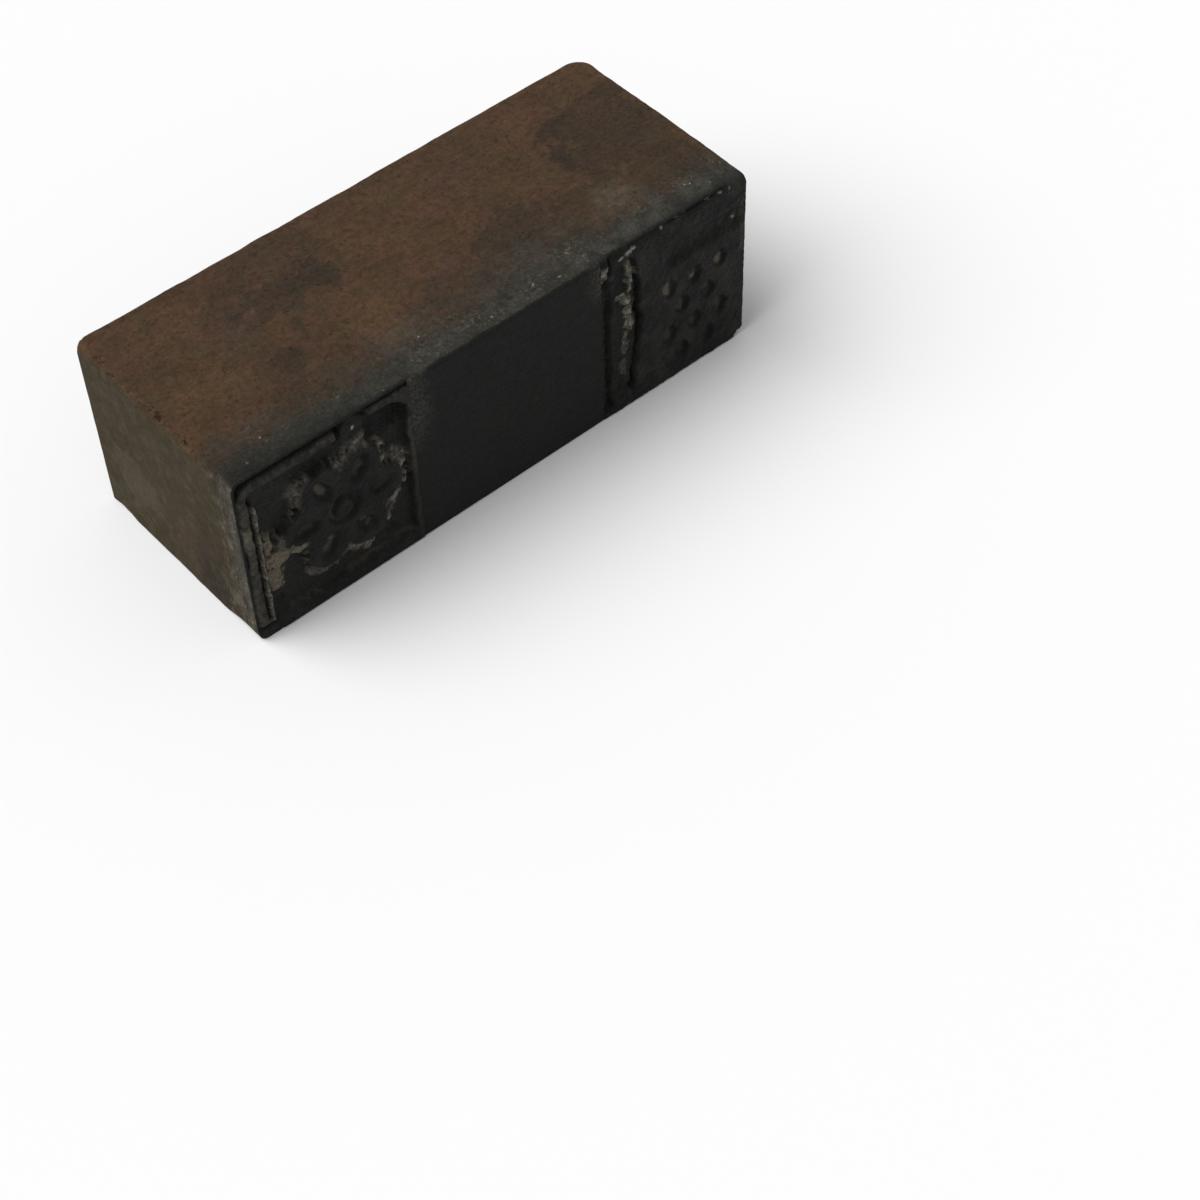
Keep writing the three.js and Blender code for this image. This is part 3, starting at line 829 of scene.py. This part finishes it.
reliefLook = dict(
    step=0.1,
    floor=-1.1,
    floorGrit=0.1,
    floorSwell=0.16,
    rail=-0.06,
    wall=0.34,
    ragged=0.15,
    roundOver=0.55,  # of the upper edge
    footRound=0.16,  # of the lower edge
    endRound=0.14,
    rim=(0.34, -0.4),  # width and level of the margin round the relief
    brokenRim=(1.2, 8.0),  # the right plate has none this near its end, below this
    slumpReach=(0.5, 3.5),  # along the upper edge, from the outer end
    slumpDepth=(3.0, 2.0),
    bedFill=0.1,  # ink and glue close the line behind a plate
    sideRows=9,
)

leftLook = dict(
    corners=(0.85, 1.05),  # lower and upper outer corner
    slump=0.55,  # rounding of the upper long edge at the outer corner
    jointFill=0.1,
    floorRise=(0.35, 8.0, 17.0),  # towards the foot
    bead=(0.83, 1.4, 1.1, 0.53),  # its place from the left and the top, bend and half width
    beadEnds=(10.75, 18.35),
    beadDrop=0.3,  # of its rounded sides
    fin=(1.62, 3.6, 1.94, 18.2),
    foot=(0.35, 17.8, 1.92, 18.35),
    recess=(13.9, 0.55, 1.3, 17.75, 1.9),  # its rail's start and top, its own top, end and bend
    sill=(2.2, 18.35, 18.9, 21.0),
    sillEnd=(-1.0, 18.7, 3.0, 21.0),
    sillEndTop=-0.18,
    lugReach=1.4,
    lugTop=-0.48,
    offCentre=1.3,
    flowerTop=-0.03,
    disc=4.7,
    lobes=6,
    lobeRing=4.1,
    lobe=2.4,
    boss=1.0,
    moat=0.7,
    petalRing=4.05,
    petal=(1.35, 0.65),
    petalDepth=-0.5,
    palePetals=(0.15, 0.5, 0.75, 0.2, 0.65, 0.3),
    crust=[  # u, t, half width, half height, strength
        (2.6, 9.3, 0.55, 1.3, 1.0), (3.4, 11.6, 1.5, 1.3, 1.0), (5.1, 11.5, 1.2, 0.35, 0.8),
        (2.9, 13.6, 0.95, 2.0, 0.9),
    ],
    shadePatches=[  # painted shade round the lug, in the recess and under the upper bead, in the same form
        (10.95, 1.7, 0.35, 1.6, 1.0), (15.9, 3.2, 2.3, 2.1, 0.85), (13.9, 2.2, 0.35, 1.3, 0.8),
        (6.0, 2.35, 4.4, 0.4, 0.7),
    ],
)

rightLook = dict(
    corners=(0.5, 0.35),
    slump=1.5,
    jointFill=0.83,  # the open joint is packed with ink
    slotFloor=-0.75,
    slotHead=3.0,
    slotFoot=0.9,  # filled this far up from the bottom
    strip=1.5,
    stripTop=-0.4,
    ridge=(0.7, 0.75, 0.4, 2.1, 17.6),  # thickness, set off from the ledge, bow, head, foot
    latticeGap=2.55,
    flank=(0.85, -0.45),  # the ridge's far slope: width and level
    crescent=(0.05, 0.2),  # the hollow behind it: at its ends, and so much more between
    bright=[  # bare metal along the ridge: u, t, half width, half height, strength
        (43.5, 2.6, 0.45, 0.8, 1.0), (43.8, 3.7, 0.55, 1.1, 1.0), (42.55, 5.75, 0.6, 0.35, 0.9),
        (43.25, 6.5, 0.55, 0.6, 1.0), (43.4, 7.8, 0.45, 0.9, 0.95), (43.5, 9.6, 0.48, 0.8, 1.0),
        (43.45, 8.7, 0.3, 0.7, 0.6), (43.6, 5.1, 0.32, 0.6, 0.55), (43.2, 10.9, 0.32, 0.6, 0.6),
        (43.05, 12.2, 0.36, 1.2, 0.5), (42.85, 14.8, 0.4, 1.3, 0.35),
    ],
    crumbs=[(40.4, 1.7, 0.42, 0.6, 1.0), (40.45, 3.2, 0.36, 0.42, 1.0), (40.9, 1.2, 0.3, 0.25, 0.7)],
    dashes=[  # knocks along the upper edge
        (42.5, 0.95, 0.3, 0.16, 0.9), (43.4, 0.8, 0.4, 0.2, 1.0), (44.1, 0.6, 0.25, 0.12, 0.8),
        (47.6, 0.4, 0.22, 0.07, 0.8), (49.4, 0.35, 0.3, 0.08, 0.9), (50.4, 0.35, 0.2, 0.08, 0.8),
        (53.2, 0.35, 0.3, 0.08, 0.8), (54.7, 0.45, 0.2, 0.06, 0.6), (55.8, 0.5, 0.2, 0.06, 0.7),
    ],
    railTop=0.4,
    bands=(1.85, 17.95),
    groove=(2.9, 3.15, 5.45, -0.5),  # set in from the field, top, foot, depth
    margin=2.2,
    pitch=3.2,
    row=2.9,
    diamond=(0.86, 1.05),
    diamondDepth=-0.36,
    diamondBulge=1.5,  # 1 gives straight sides, 2 an oval
    paleRows=(1.0, 0.4, 0.3, 0.15),
    cornerLoss=(1.3, -1.6),  # reach and depth of the lost lower corner
)


def roughen(u, t, size, seed, octaves=3):
    flat = np.stack([u.ravel(), t.ravel(), np.zeros(u.size)], 1)
    return wobble(flat, size, seed, octaves).reshape(u.shape)


def worked(u, t, seed):
    # hand-cut unevenness: bent places on the face, coarse grit and soft swells
    ragged = reliefLook["ragged"]
    bentU = u + ragged * roughen(u, t, 1.5, seed) + 0.05 * roughen(u, t, 0.5, seed + 1)
    bentT = t + ragged * roughen(u, t, 1.5, seed + 2) + 0.05 * roughen(u, t, 0.5, seed + 3)
    return bentU, bentT, roughen(u, t, 0.55, seed + 4, 4), roughen(u, t, 2.8, seed + 5, 3)


def rosette(u, t, cu, ct):
    # the flower's outline, its counters and how pale their floors are
    look = leftLook
    flower = discField(u, t, cu, ct, look["disc"])
    counters = np.abs(discField(u, t, cu, ct, look["boss"] + look["moat"] / 2)) - look["moat"] / 2
    pale = 0.35 * fade(u - cu, 0.0, -0.8)
    half, width = look["petal"]
    for i, strength in enumerate(look["palePetals"]):
        turn = 2 * math.pi * i / look["lobes"]
        c, s = math.cos(turn), math.sin(turn)
        lobe = discField(u, t, cu + look["lobeRing"] * c, ct + look["lobeRing"] * s, look["lobe"])
        flower = np.minimum(flower, lobe)
        along = (u - cu) * c + (t - ct) * s - look["petalRing"]
        across = (t - ct) * c - (u - cu) * s
        petal = (np.hypot(along / half, across / width) - 1.0) * width
        pale = np.where(petal < counters, strength, pale)
        counters = np.minimum(counters, petal)
    return flower, counters, pale


def leftRelief(u, t):
    look, common = leftLook, reliefLook
    bentU, bentT, grit, soft = worked(u, t, 11)
    wall, rail = common["wall"], common["rail"]
    rise, riseStart, riseEnd = look["floorRise"]
    height = common["floor"] + common["floorGrit"] * grit + common["floorSwell"] * soft
    height = height + rise * fade(t, riseStart, riseEnd)
    cu, ct = faceCentre("left_relief_plate")
    flower, counters, pale = rosette(bentU, bentT, cu + look["offCentre"], ct)
    height = raised(height, flower, look["flowerTop"] + 0.04 * grit, wall * 1.5)
    height = sunk(height, counters, look["petalDepth"] + 0.1 * grit, wall * 1.7)
    height = raised(height, boxField(bentU, bentT, *look["sill"], 0.3), rail, wall * 2.6)
    height = raised(height, boxField(bentU, bentT, *look["sillEnd"], 0.3), look["sillEndTop"], wall)
    railStart, railTop, recessTop, recessEnd, turn = look["recess"]
    recess = boxField(bentU + 0.15 * soft, bentT, 0, recessTop, recessEnd, 40, turn)
    frameRail = most(-recess, railStart - bentU, railTop - bentT)
    height = raised(height, frameRail, rail, wall * 1.4)
    beadLeft, beadTop, turn, half = look["bead"]
    path = boxField(bentU, bentT, beadLeft, beadTop, 60, 60, turn)
    upperEnd, foot = look["beadEnds"]
    bead = most(np.abs(path) - half, bentU - upperEnd, bentT - foot)
    crown = rail - look["beadDrop"] * np.clip(np.abs(path) / half, 0.0, 1.0) ** 2
    height = raised(height, bead, crown, wall)
    for name in ("fin", "foot"):
        u0, t0, u1, t1 = look[name]
        radius = min(u1 - u0, t1 - t0) * 0.4
        height = raised(height, boxField(bentU, bentT, u0, t0, u1, t1, radius), rail, wall * 0.8)
    lug = discField(bentU, bentT, *faceCentre("left_nail_lug"), look["lugReach"])
    height = raised(height, lug, look["lugTop"] + 0.08 * grit, wall * 1.5)

    width = 0.55 + 1.1 * most(soft, 0.0) + 0.35 * fade(u, 8.0, 15.0)
    burr = fade(flower, -0.3, 0.05) * fadeOut(flower, width * 0.5, width * 1.2)
    burr *= fade(soft + 0.7 * grit + 0.35 * fade(u, 6.0, 13.0), -0.3, 0.25)
    burr *= fade(boxField(u, t, *look["sill"], 0.3), 0.0, 0.5)
    burr *= 1.0 - fade(u, 13.0, 14.2) * fadeOut(t, 4.6, 5.6)
    height = mixed(burr, height, most(height, -0.45 + 0.35 * grit))
    crust = patches(u, t, look["crust"], 0.5 * grit, 0.3) * fade(u, 1.9, 2.15)
    height = mixed(crust, height, most(height, -0.5 + 0.3 * grit))

    onBead, upright = fadeOut(bead, -0.2, 0.05), fade(t, 1.6, 2.6)
    onRail = onBead * upright
    # the upper bead's outer half, where light falls, gets painted highlight
    upperBeadLitHalf = onBead * (1.0 - upright) * fade(path, -0.4, 0.15)
    onThin = fadeOut(frameRail, -0.2, 0.05) * fadeOut(t, 1.5, 3.0)
    onFin, onFoot = (fadeOut(boxField(u, t, *look[name], 0.1), -0.1, 0.08) for name in ("fin", "foot"))
    joint = fadeOut(np.abs(recess - 0.45 + 0.1 * grit), 0.1, 0.3) * fade(t, 1.0, 2.0) * fade(u, 15.0, 16.5)
    joint *= 0.9 - 0.5 * fade(t, 8.0, 13.0)
    sillLip = fadeOut(np.abs(t - look["sill"][1] + 0.5 * soft + 0.1), 0.1, 0.4)
    sillLip *= fade(u, 2.5, 4.0) * fade(soft + 0.5 * grit, -0.5, 0.2)
    stuck = 0.55 * onRail * fadeOut(np.abs(t - 7.0 + 2.0 * soft), 1.0, 3.2)
    floor = pale * fadeOut(counters, -0.35, -0.05) * fade(grit + soft, -0.7, 0.1)
    bright = 0.5 * burr * fade(grit, 0.1, 0.4) * fade(u, 9.0, 13.0)
    return height, dict(
        rubAndHighlight=most(onRail, onFoot, 0.8 * upperBeadLitHalf, 0.6 * onThin, joint, 0.6 * sillLip),
        bare=most(0.65 * burr, onFin),
        residue=most(crust, stuck, 0.6 * floor, bright, 0.4 * onFin * fade(grit, -0.2, 0.2)),
        glint=most(0.6 * onFin, bright) * fade(grit, 0.0, 0.35),
        paintedShade=patches(bentU, bentT, look["shadePatches"], 0.2 * grit, 0.25),
    )


def diamondField(u, t, u0, t0, u1, t1):
    # staggered rows from the top down, how pale each row's floor is and the place across each one
    look = rightLook
    columns, rows = int((u1 - u0) // look["pitch"]) + 1, int((t1 - t0) // look["row"]) + 1
    firstU = (u0 + u1 - (columns - 1) * look["pitch"]) / 2
    firstT = (t0 + t1 - (rows - 1) * look["row"]) / 2
    halfU, halfT = look["diamond"]
    power = look["diamondBulge"]
    field, pale, across = np.full(u.shape, 9.0), np.zeros(u.shape), np.zeros(u.shape)
    for row in range(rows):
        for column in range(columns - row % 2):
            du = u - firstU - (column + (row % 2) / 2) * look["pitch"]
            dt = np.abs(t - firstT - row * look["row"])
            ring = ((np.abs(du) / halfU) ** power + (dt / halfT) ** power) ** (1 / power)
            one = (ring - 1.0) * halfU * 0.8
            pale = np.where(one < field, look["paleRows"][row], pale)
            across = np.where(one < field, du, across)
            field = np.minimum(field, one)
    return field, pale, across


def rightRelief(u, t):
    look, common = rightLook, reliefLook
    low, high = boxInMm("right_relief_plate")
    start, end, bottom = low.x - block[0].x, high.x - block[0].x, t.max()
    bentU, bentT, grit, soft = worked(u, t, 21)
    patchy, lumps = roughen(u, t, 1.3, 27, 3), roughen(u, t, 0.5, 28, 4)
    wall = common["wall"]
    height = common["floor"] + common["floorGrit"] * grit + common["floorSwell"] * soft
    stripEnd = start + look["strip"]
    width, setOff, bow, head, foot = look["ridge"]
    strip = boxField(bentU, bentT, start + 0.25, -1, stripEnd + setOff + 0.2, 21, 0.2)
    height = raised(height, strip, look["stripTop"] + 0.07 * grit, wall * 1.8)
    middle, half = (head + foot) / 2, (foot - head) / 2
    bowed = np.clip(1.0 - ((t - middle) / half) ** 2, 0.0, 1.0)
    thick = width / 2 + 0.25 * patchy + 0.2 * lumps - 0.1 * fade(t, 9.0, 13.0)
    fromRidge = bentU + 0.25 * soft - stripEnd - setOff - bow * bowed + 0.5 * fade(t, 10.0, 17.0)
    pastEnds = np.abs(t - middle) - half
    ridge = most(np.abs(fromRidge) - thick, pastEnds)
    latticeStart = stripEnd + look["latticeGap"]
    flankWidth, flankTop = look["flank"]
    flank = most(np.abs(fromRidge - flankWidth / 2) - flankWidth / 2, pastEnds)
    height = raised(height, flank, flankTop + 0.12 * patchy + 0.1 * grit, wall)
    bright = patches(u, t, look["bright"], 0.8 * grit + 0.4 * lumps, 0.35)
    crest = -0.25 + 0.15 * patchy - 0.2 * fade(t, 10.0, 16.0) + 0.2 * bright
    height = raised(height, ridge, np.minimum(crest + 0.15 * lumps, 0.0), wall * 1.2)
    narrow, more = look["crescent"]
    hollow = flankWidth + narrow + more * bowed - fromRidge
    toEdge = bentT + 0.7 * fade(u, end - 3.0, end - 1.2)  # at the outer end it reaches the top
    plateau = boxField(bentU, toEdge, latticeStart - 1.0, look["railTop"], end + 2, 22, 0.3)
    plateau = np.where((t > head) & (t < foot), most(plateau, hollow), plateau)
    height = raised(height, plateau, -0.05 + 0.05 * grit + 0.04 * patchy, wall * 1.6)
    headEnd, footStart = look["bands"]
    for t0, t1 in ((look["railTop"], headEnd), (footStart, 22)):
        band = boxField(bentU, bentT, start + 0.25, t0, latticeStart + 1, t1, 0.2)
        height = raised(height, band, common["rail"] + 0.05 * grit, wall * 2.2)
    setIn, grooveTop, grooveFoot, grooveDepth = look["groove"]
    groove = boxField(bentU, bentT, latticeStart + setIn, grooveTop, end - 0.3, grooveFoot, 0.75)
    height = sunk(height, groove, grooveDepth + 0.1 * grit, wall * 3.4)
    u0, u1 = latticeStart + look["margin"], end - look["margin"]
    t0, t1 = grooveFoot + look["margin"], bottom - look["margin"]
    counters, pale, across = diamondField(bentU, bentT, u0, t0, u1, t1)
    height = sunk(height, counters, look["diamondDepth"] + 0.08 * grit, wall * 1.5)
    inSlot = fade(start - u, -0.05, 0.05)
    packed = fadeOut(t + 0.5 * soft, 0.5 * look["slotHead"], 1.15 * look["slotHead"])
    height = mixed(inSlot, height, look["slotFloor"] + 0.65 * packed + 0.2 * grit)
    fillStart = bottom - look["slotFoot"]
    filled = fade(t + 0.4 * grit, fillStart - 0.25, fillStart + 0.25) * fadeOut(u - start, 0.7, 1.0)
    height = mixed(filled, height, most(height, -0.12 + 0.08 * grit))
    lossReach, lossDepth = look["cornerLoss"]
    lost = np.hypot(u - end, t - bottom) + 0.5 * soft + 0.3 * grit
    height = np.minimum(height, lossDepth * fadeOut(lost, 0.5 * lossReach, lossReach))

    bright = most(bright, patches(u, t, look["crumbs"], 0.5 * grit, 0.4))
    knocked = patches(u, t, look["dashes"], 0.5 * grit, 0.4)
    crumbs = inSlot * packed * fade(t, 0.7, 1.2) * fade(grit + 0.5 * patchy, -0.05, 0.2)
    worn = 0.35 * fade(soft, 0.0, 0.5) * fade(height, -0.3, -0.05)
    # a pale line down the right plate's outer edge: painted highlight
    edgeHighlight = fadeOut(np.abs(end - u - 0.45 + 0.15 * soft), 0.1, 0.35)
    edgeHighlight *= fade(t, 2.5, 3.5) * fade(t, 10.0, 8.5)
    onRidge = fadeOut(ridge, -0.15, 0.05) * (0.5 - 0.25 * fade(t, 9.0, 13.0))
    onFlank = fadeOut(flank, -0.15, 0.05) * fade(patchy, -0.4, 0.3)
    stuck = pale * fadeOut(counters, -0.4, -0.02) * fade(soft + grit, -0.8, 0.0)
    # pale residue on the counter floors, kept to their left part as painted light facing the painted shade
    # on the right
    stuck *= fadeOut(across, 0.1, 0.45)
    # painted shade behind and before the ridge, on the right of each counter and in the open slot
    behindRidge = fade(fromRidge, flankWidth - 0.1, flankWidth + 0.1) * fade(plateau, -0.1, 0.1)
    behindRidge *= fade(t, head - 0.5, head)
    openSlot = inSlot * (1.0 - packed)
    beforeRidge = fade(u, start + 0.2, start + 0.6) * fade(fromRidge, -0.3, -0.6) * fade(t, 9.0, 6.0)
    behindCounter = fadeOut(np.abs(counters - 0.02), 0.06, 0.22) * fade(across, 0.15, 0.4)
    return height, dict(
        rubAndHighlight=most(worn, onRidge, 0.3 * onFlank, edgeHighlight),
        bare=most(bright, knocked, 0.9 * crumbs),
        residue=most(0.7 * stuck, 0.4 * bright * fade(grit + lumps, -0.3, 0.3)),
        glint=most(0.8 * knocked, bright * fade(grit + lumps, -0.1, 0.4)),
        paintedShade=most(0.8 * behindRidge, 0.6 * beforeRidge, 0.7 * behindCounter, 0.3 * openSlot),
    )


def roundedOver(edge, radius):
    reach = np.clip(radius - edge, 0.0, radius)
    return radius - np.sqrt(radius ** 2 - reach ** 2)


nailShape = dict(
    head=0.6,
    thick=0.35,
    film=0.04,  # ink round the head lies this far below its crown
    shows=0.3,  # what the ink leaves open
    collar=(0.1, 0.7),  # ink heaped round the head: width and slope
    dish=(0.4, 1.2),  # that ink is level out to the first and ends at the second
    pocket=(0.2, 0.12),  # the opening over the crown: depth and slope
    shank=0.35,
    point=1.6,
    sides=28,
    dome=(0.1, 0.2, 0.32, 0.45, 0.6, 0.75, 0.87, 0.95, 1.0),  # rings of the crown, out from its middle
    bright=dict(left_nail_lug=1.0, right_nail_upper_end=0.9),  # the two that show: rubbed bare, with a painted highlight
)


def reliefPlate(name, node, look, relief, outer, nails):
    common = reliefLook
    low, high = boxInMm(node)
    startX = low.x - (look["jointFill"] if outer > 0 else 0.0)
    endX = high.x + (look["jointFill"] if outer < 0 else 0.0)
    columns = round((endX - startX) / common["step"]) + 1
    rows = round((high.z - low.z) / common["step"]) + 1
    across, upward = np.linspace(startX, endX, columns), np.linspace(low.z, high.z, rows)
    x, z = np.meshgrid(across, upward, indexing="ij")
    u, t = x - block[0].x, block[1].z - z
    height, masks = relief(u, t)
    (width, slope), (level, reach), (depth, lip) = (nailShape[key] for key in ("collar", "dish", "pocket"))
    for nail in nails:
        film = low.y - boxInMm(nail)[0].y - nailShape["film"]
        away = discField(u, t, *faceCentre(nail), 0.0)
        height = raised(height, away - nailShape["head"] - width, film, slope)
        height = np.where(away < reach, np.minimum(height, film + most(away - level, 0.0)), height)
        height = sunk(height, away - nailShape["shows"], film - depth, lip)
    uneven = 1.0 + 0.35 * roughen(u, t, 1.4, 41)
    longEdge = np.minimum(t - t.min(), t.max() - t)
    shortEdge = (u - u.min()) if outer < 0 else (u.max() - u)
    rimWidth, rimLevel = common["rim"]
    nearRim = fadeOut(np.minimum(longEdge, shortEdge), rimWidth - 0.05, rimWidth + 0.05)
    nearEnd, below = common["brokenRim"]
    sound = np.where(outer < 0, True, ((u.max() - u > nearEnd) | (t < below)) & (x > low.x))
    height = np.where(sound, mixed(nearRim, height, most(height, rimLevel)), height)
    lowest, full = common["slumpDepth"]
    slumped = fadeOut(shortEdge, *common["slumpReach"]) * fade(z, high.z - lowest, high.z - full)
    longRound = np.where(t < t.mean(), common["roundOver"], common["footRound"])
    drop = roundedOver(longEdge, mixed(slumped, longRound, look["slump"]))
    drop = most(drop, roundedOver(shortEdge, common["endRound"]))
    height = np.minimum(height, -drop * uneven)
    height = np.minimum(height + 0.02 * roughen(u, t, 0.35, 42, 3) - 0.01, 0.0)
    masks["low"] = fade(-height, 0.3, 0.9)
    radii = {(outer, side): radius for side, radius in zip((-1, 1), look["corners"])}
    x, z = roundCorners(x, z, (low.x, low.z), (high.x, high.z), radii)[:2]

    index = np.arange(columns * rows).reshape(columns, rows)
    points = [np.stack([x.ravel(), low.y - height.ravel(), z.ravel()], 1)]
    quads = np.stack([index[:-1, :-1], index[1:, :-1], index[1:, 1:], index[:-1, 1:]], -1)
    faces = quads.reshape(-1, 4).tolist()
    rim = np.concatenate([index[:-1, 0], index[-1, :-1], index[:0:-1, -1], index[0, :0:-1]])
    count, last = len(rim), rim
    for row in range(1, common["sideRows"] + 1):
        ring = points[0][rim].copy()
        ring[:, 1] = mixed(row / common["sideRows"], ring[:, 1], high.y + common["bedFill"])
        points.append(ring)
        current = columns * rows + (row - 1) * count + np.arange(count)
        faces += np.stack([last, current, np.roll(current, -1), np.roll(last, -1)], 1).tolist()
        last = current
    faces.append(last[::-1].tolist())
    points = np.concatenate(points)

    sideCount = count * common["sideRows"]
    masks = {key: np.concatenate([values.ravel(), np.zeros(sideCount)]) for key, values in masks.items()}
    back = points[:, 1] - low.y
    outerX = low.x if outer < 0 else high.x
    masks["end"] = fadeOut(np.abs(points[:, 0] - outerX), 0.1, 0.5)
    begin = mixed(masks["end"], 0.22, 0.04)
    onSide = np.concatenate([np.zeros(columns * rows), np.ones(sideCount)])
    masks["side"] = fade(back, begin, begin + 0.2) * onSide
    masks["fleck"] = masks["side"] * mixed(masks["end"], 0.25, 0.8)
    masks.update(inkBand(points, back))
    makePiece(name, points, faces, masks, finish["metal"], node)
    print(name, "made:", columns * rows, "points in its face")


leftNails = [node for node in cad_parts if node.startswith("left_nail")]
rightNails = [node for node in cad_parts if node.startswith("right_nail")]
reliefPlate("left_plate_relief", "left_relief_plate", leftLook, leftRelief, -1, leftNails)
reliefPlate("right_plate_relief", "right_relief_plate", rightLook, rightRelief, 1, rightNails)


# the nails

def roundNail(node, seed):
    look = nailShape
    low, high = boxInMm(node)
    centreX, centreZ = (low.x + high.x) / 2, (low.z + high.z) / 2
    crown, tip = low.y, high.y
    head, shank, seat = look["head"], look["shank"], crown + look["thick"]
    profile = [(0.0, crown)]
    profile += [(head * part, crown + look["thick"] * 0.55 * part ** 3) for part in look["dome"]]
    profile += [(head * 0.98, seat - 0.05), (head * 0.9, seat), (shank, seat + 0.02), (shank, seat + 2.0)]
    profile += [(shank, tip - look["point"]), (0.0, tip)]
    points, faces, rings = [], [], []
    for radius, y in profile:
        sides = look["sides"] if radius else 1
        rings.append(list(range(len(points), len(points) + sides)))
        for i in range(sides):
            turn = 2 * math.pi * i / sides
            c, s = math.cos(turn), math.sin(turn)
            uneven = radius * (0.95 - 0.05 * noise.noise((c * 1.3, s * 1.3, seed * 3.1 + y)))
            points.append((centreX + uneven * c, y, centreZ + uneven * s))
    for first, second in zip(rings, rings[1:]):
        for i in range(look["sides"]):
            n = (i + 1) % look["sides"]
            if len(first) == 1:
                faces.append([first[0], second[i], second[n]])
            elif len(second) == 1:
                faces.append([first[i], second[0], first[n]])
            else:
                faces.append([first[i], second[i], second[n], first[n]])
    points = np.array(points)
    fromMiddle = np.hypot(points[:, 0] - centreX, points[:, 2] - centreZ)
    rubbedAndHighlight = fadeOut(points[:, 1] - crown, 0.01, 0.1) * fadeOut(fromMiddle, 0.1, 0.32)
    rubbedAndHighlight *= look["bright"].get(node, 0.0)
    makePiece(node + "_worn", points, faces, dict(crown=rubbedAndHighlight), finish["steel"], node)


for number, nailNode in enumerate(leftNails + rightNails):
    roundNail(nailNode, number + 1)
print("nails made:", len(leftNails + rightNails))


# floor, light and camera

stageLook = dict(
    floorSize=8.0,  # metres
    floorRough=0.9,
    floorSpecular=0.05,
    seenFloor=(0.90, 0.90, 0.905),
    bounceFloor=(0.5, 0.5, 0.5),
    sunFrom=(-0.6, 0.32, 0.9),
    sunStrength=2.75,
    sunAngle=58,
    worldStrength=0.4,
    place=(-93.206, -135.073, 168.145),
    aim=(-9.026, -34.268, 10.0),
    roll=-1.794,
    lens=73.779,
    sensor=36.0,
    clip=(0.01, 20.0),  # metres
)


def seenDirectly(tree):
    light = put(tree, "ShaderNodeLightPath", {}).outputs
    mirrored = calc(tree, "MAXIMUM", light["Is Glossy Ray"], light["Is Transmission Ray"])
    return calc(tree, "MAXIMUM", light["Is Camera Ray"], mirrored)


def paleFloor():
    look = stageLook
    half = look["floorSize"] / 2
    mesh = bpy.data.meshes.new("floor")
    corners = [(-half, -half, 0), (half, -half, 0), (half, half, 0), (-half, half, 0)]
    mesh.from_pydata(corners, [], [(0, 1, 2, 3)])
    material, tree = plainMaterial("pale floor", look["floorSpecular"])
    shader = tree.nodes["Principled BSDF"].inputs
    colour = blend(tree, seenDirectly(tree), look["bounceFloor"], look["seenFloor"])
    feed(tree, shader["Base Color"], colour)
    shader["Roughness"].default_value = look["floorRough"]
    mesh.materials.append(material)
    addObject("floor", mesh)


def softLight():
    look = stageLook
    lamp = bpy.data.lights.new("window", "SUN")
    lamp.energy = look["sunStrength"]
    lamp.angle = math.radians(look["sunAngle"])
    sun = addObject("window", lamp)
    sun.rotation_mode = "QUATERNION"
    sun.rotation_quaternion = (-Vector(look["sunFrom"])).to_track_quat("-Z", "Y")
    world = bpy.data.worlds.new("studio")
    world.use_nodes = True
    tree = world.node_tree
    background = tree.nodes["Background"].inputs
    feed(tree, background["Color"], (1.0, 1.0, 1.0))
    feed(tree, background["Strength"], blendValue(tree, seenDirectly(tree), look["worldStrength"], 1.0))
    bpy.context.scene.world = world


def photoCamera():
    look = stageLook
    lens = bpy.data.cameras.new("camera")
    lens.lens = look["lens"]
    lens.sensor_width = look["sensor"]
    lens.clip_start, lens.clip_end = look["clip"]
    camera = addObject("camera", lens)
    place, aim = Vector(look["place"]) * mm, Vector(look["aim"]) * mm
    turn = (aim - place).to_track_quat("-Z", "Y").to_matrix().to_4x4()
    roll = Matrix.Rotation(math.radians(look["roll"]), 4, "Z")
    camera.matrix_world = Matrix.Translation(place) @ turn @ roll
    bpy.context.scene.camera = camera


paleFloor()
softLight()
photoCamera()
bpy.context.scene.view_settings.view_transform = "Standard"
print("floor, light and camera set")
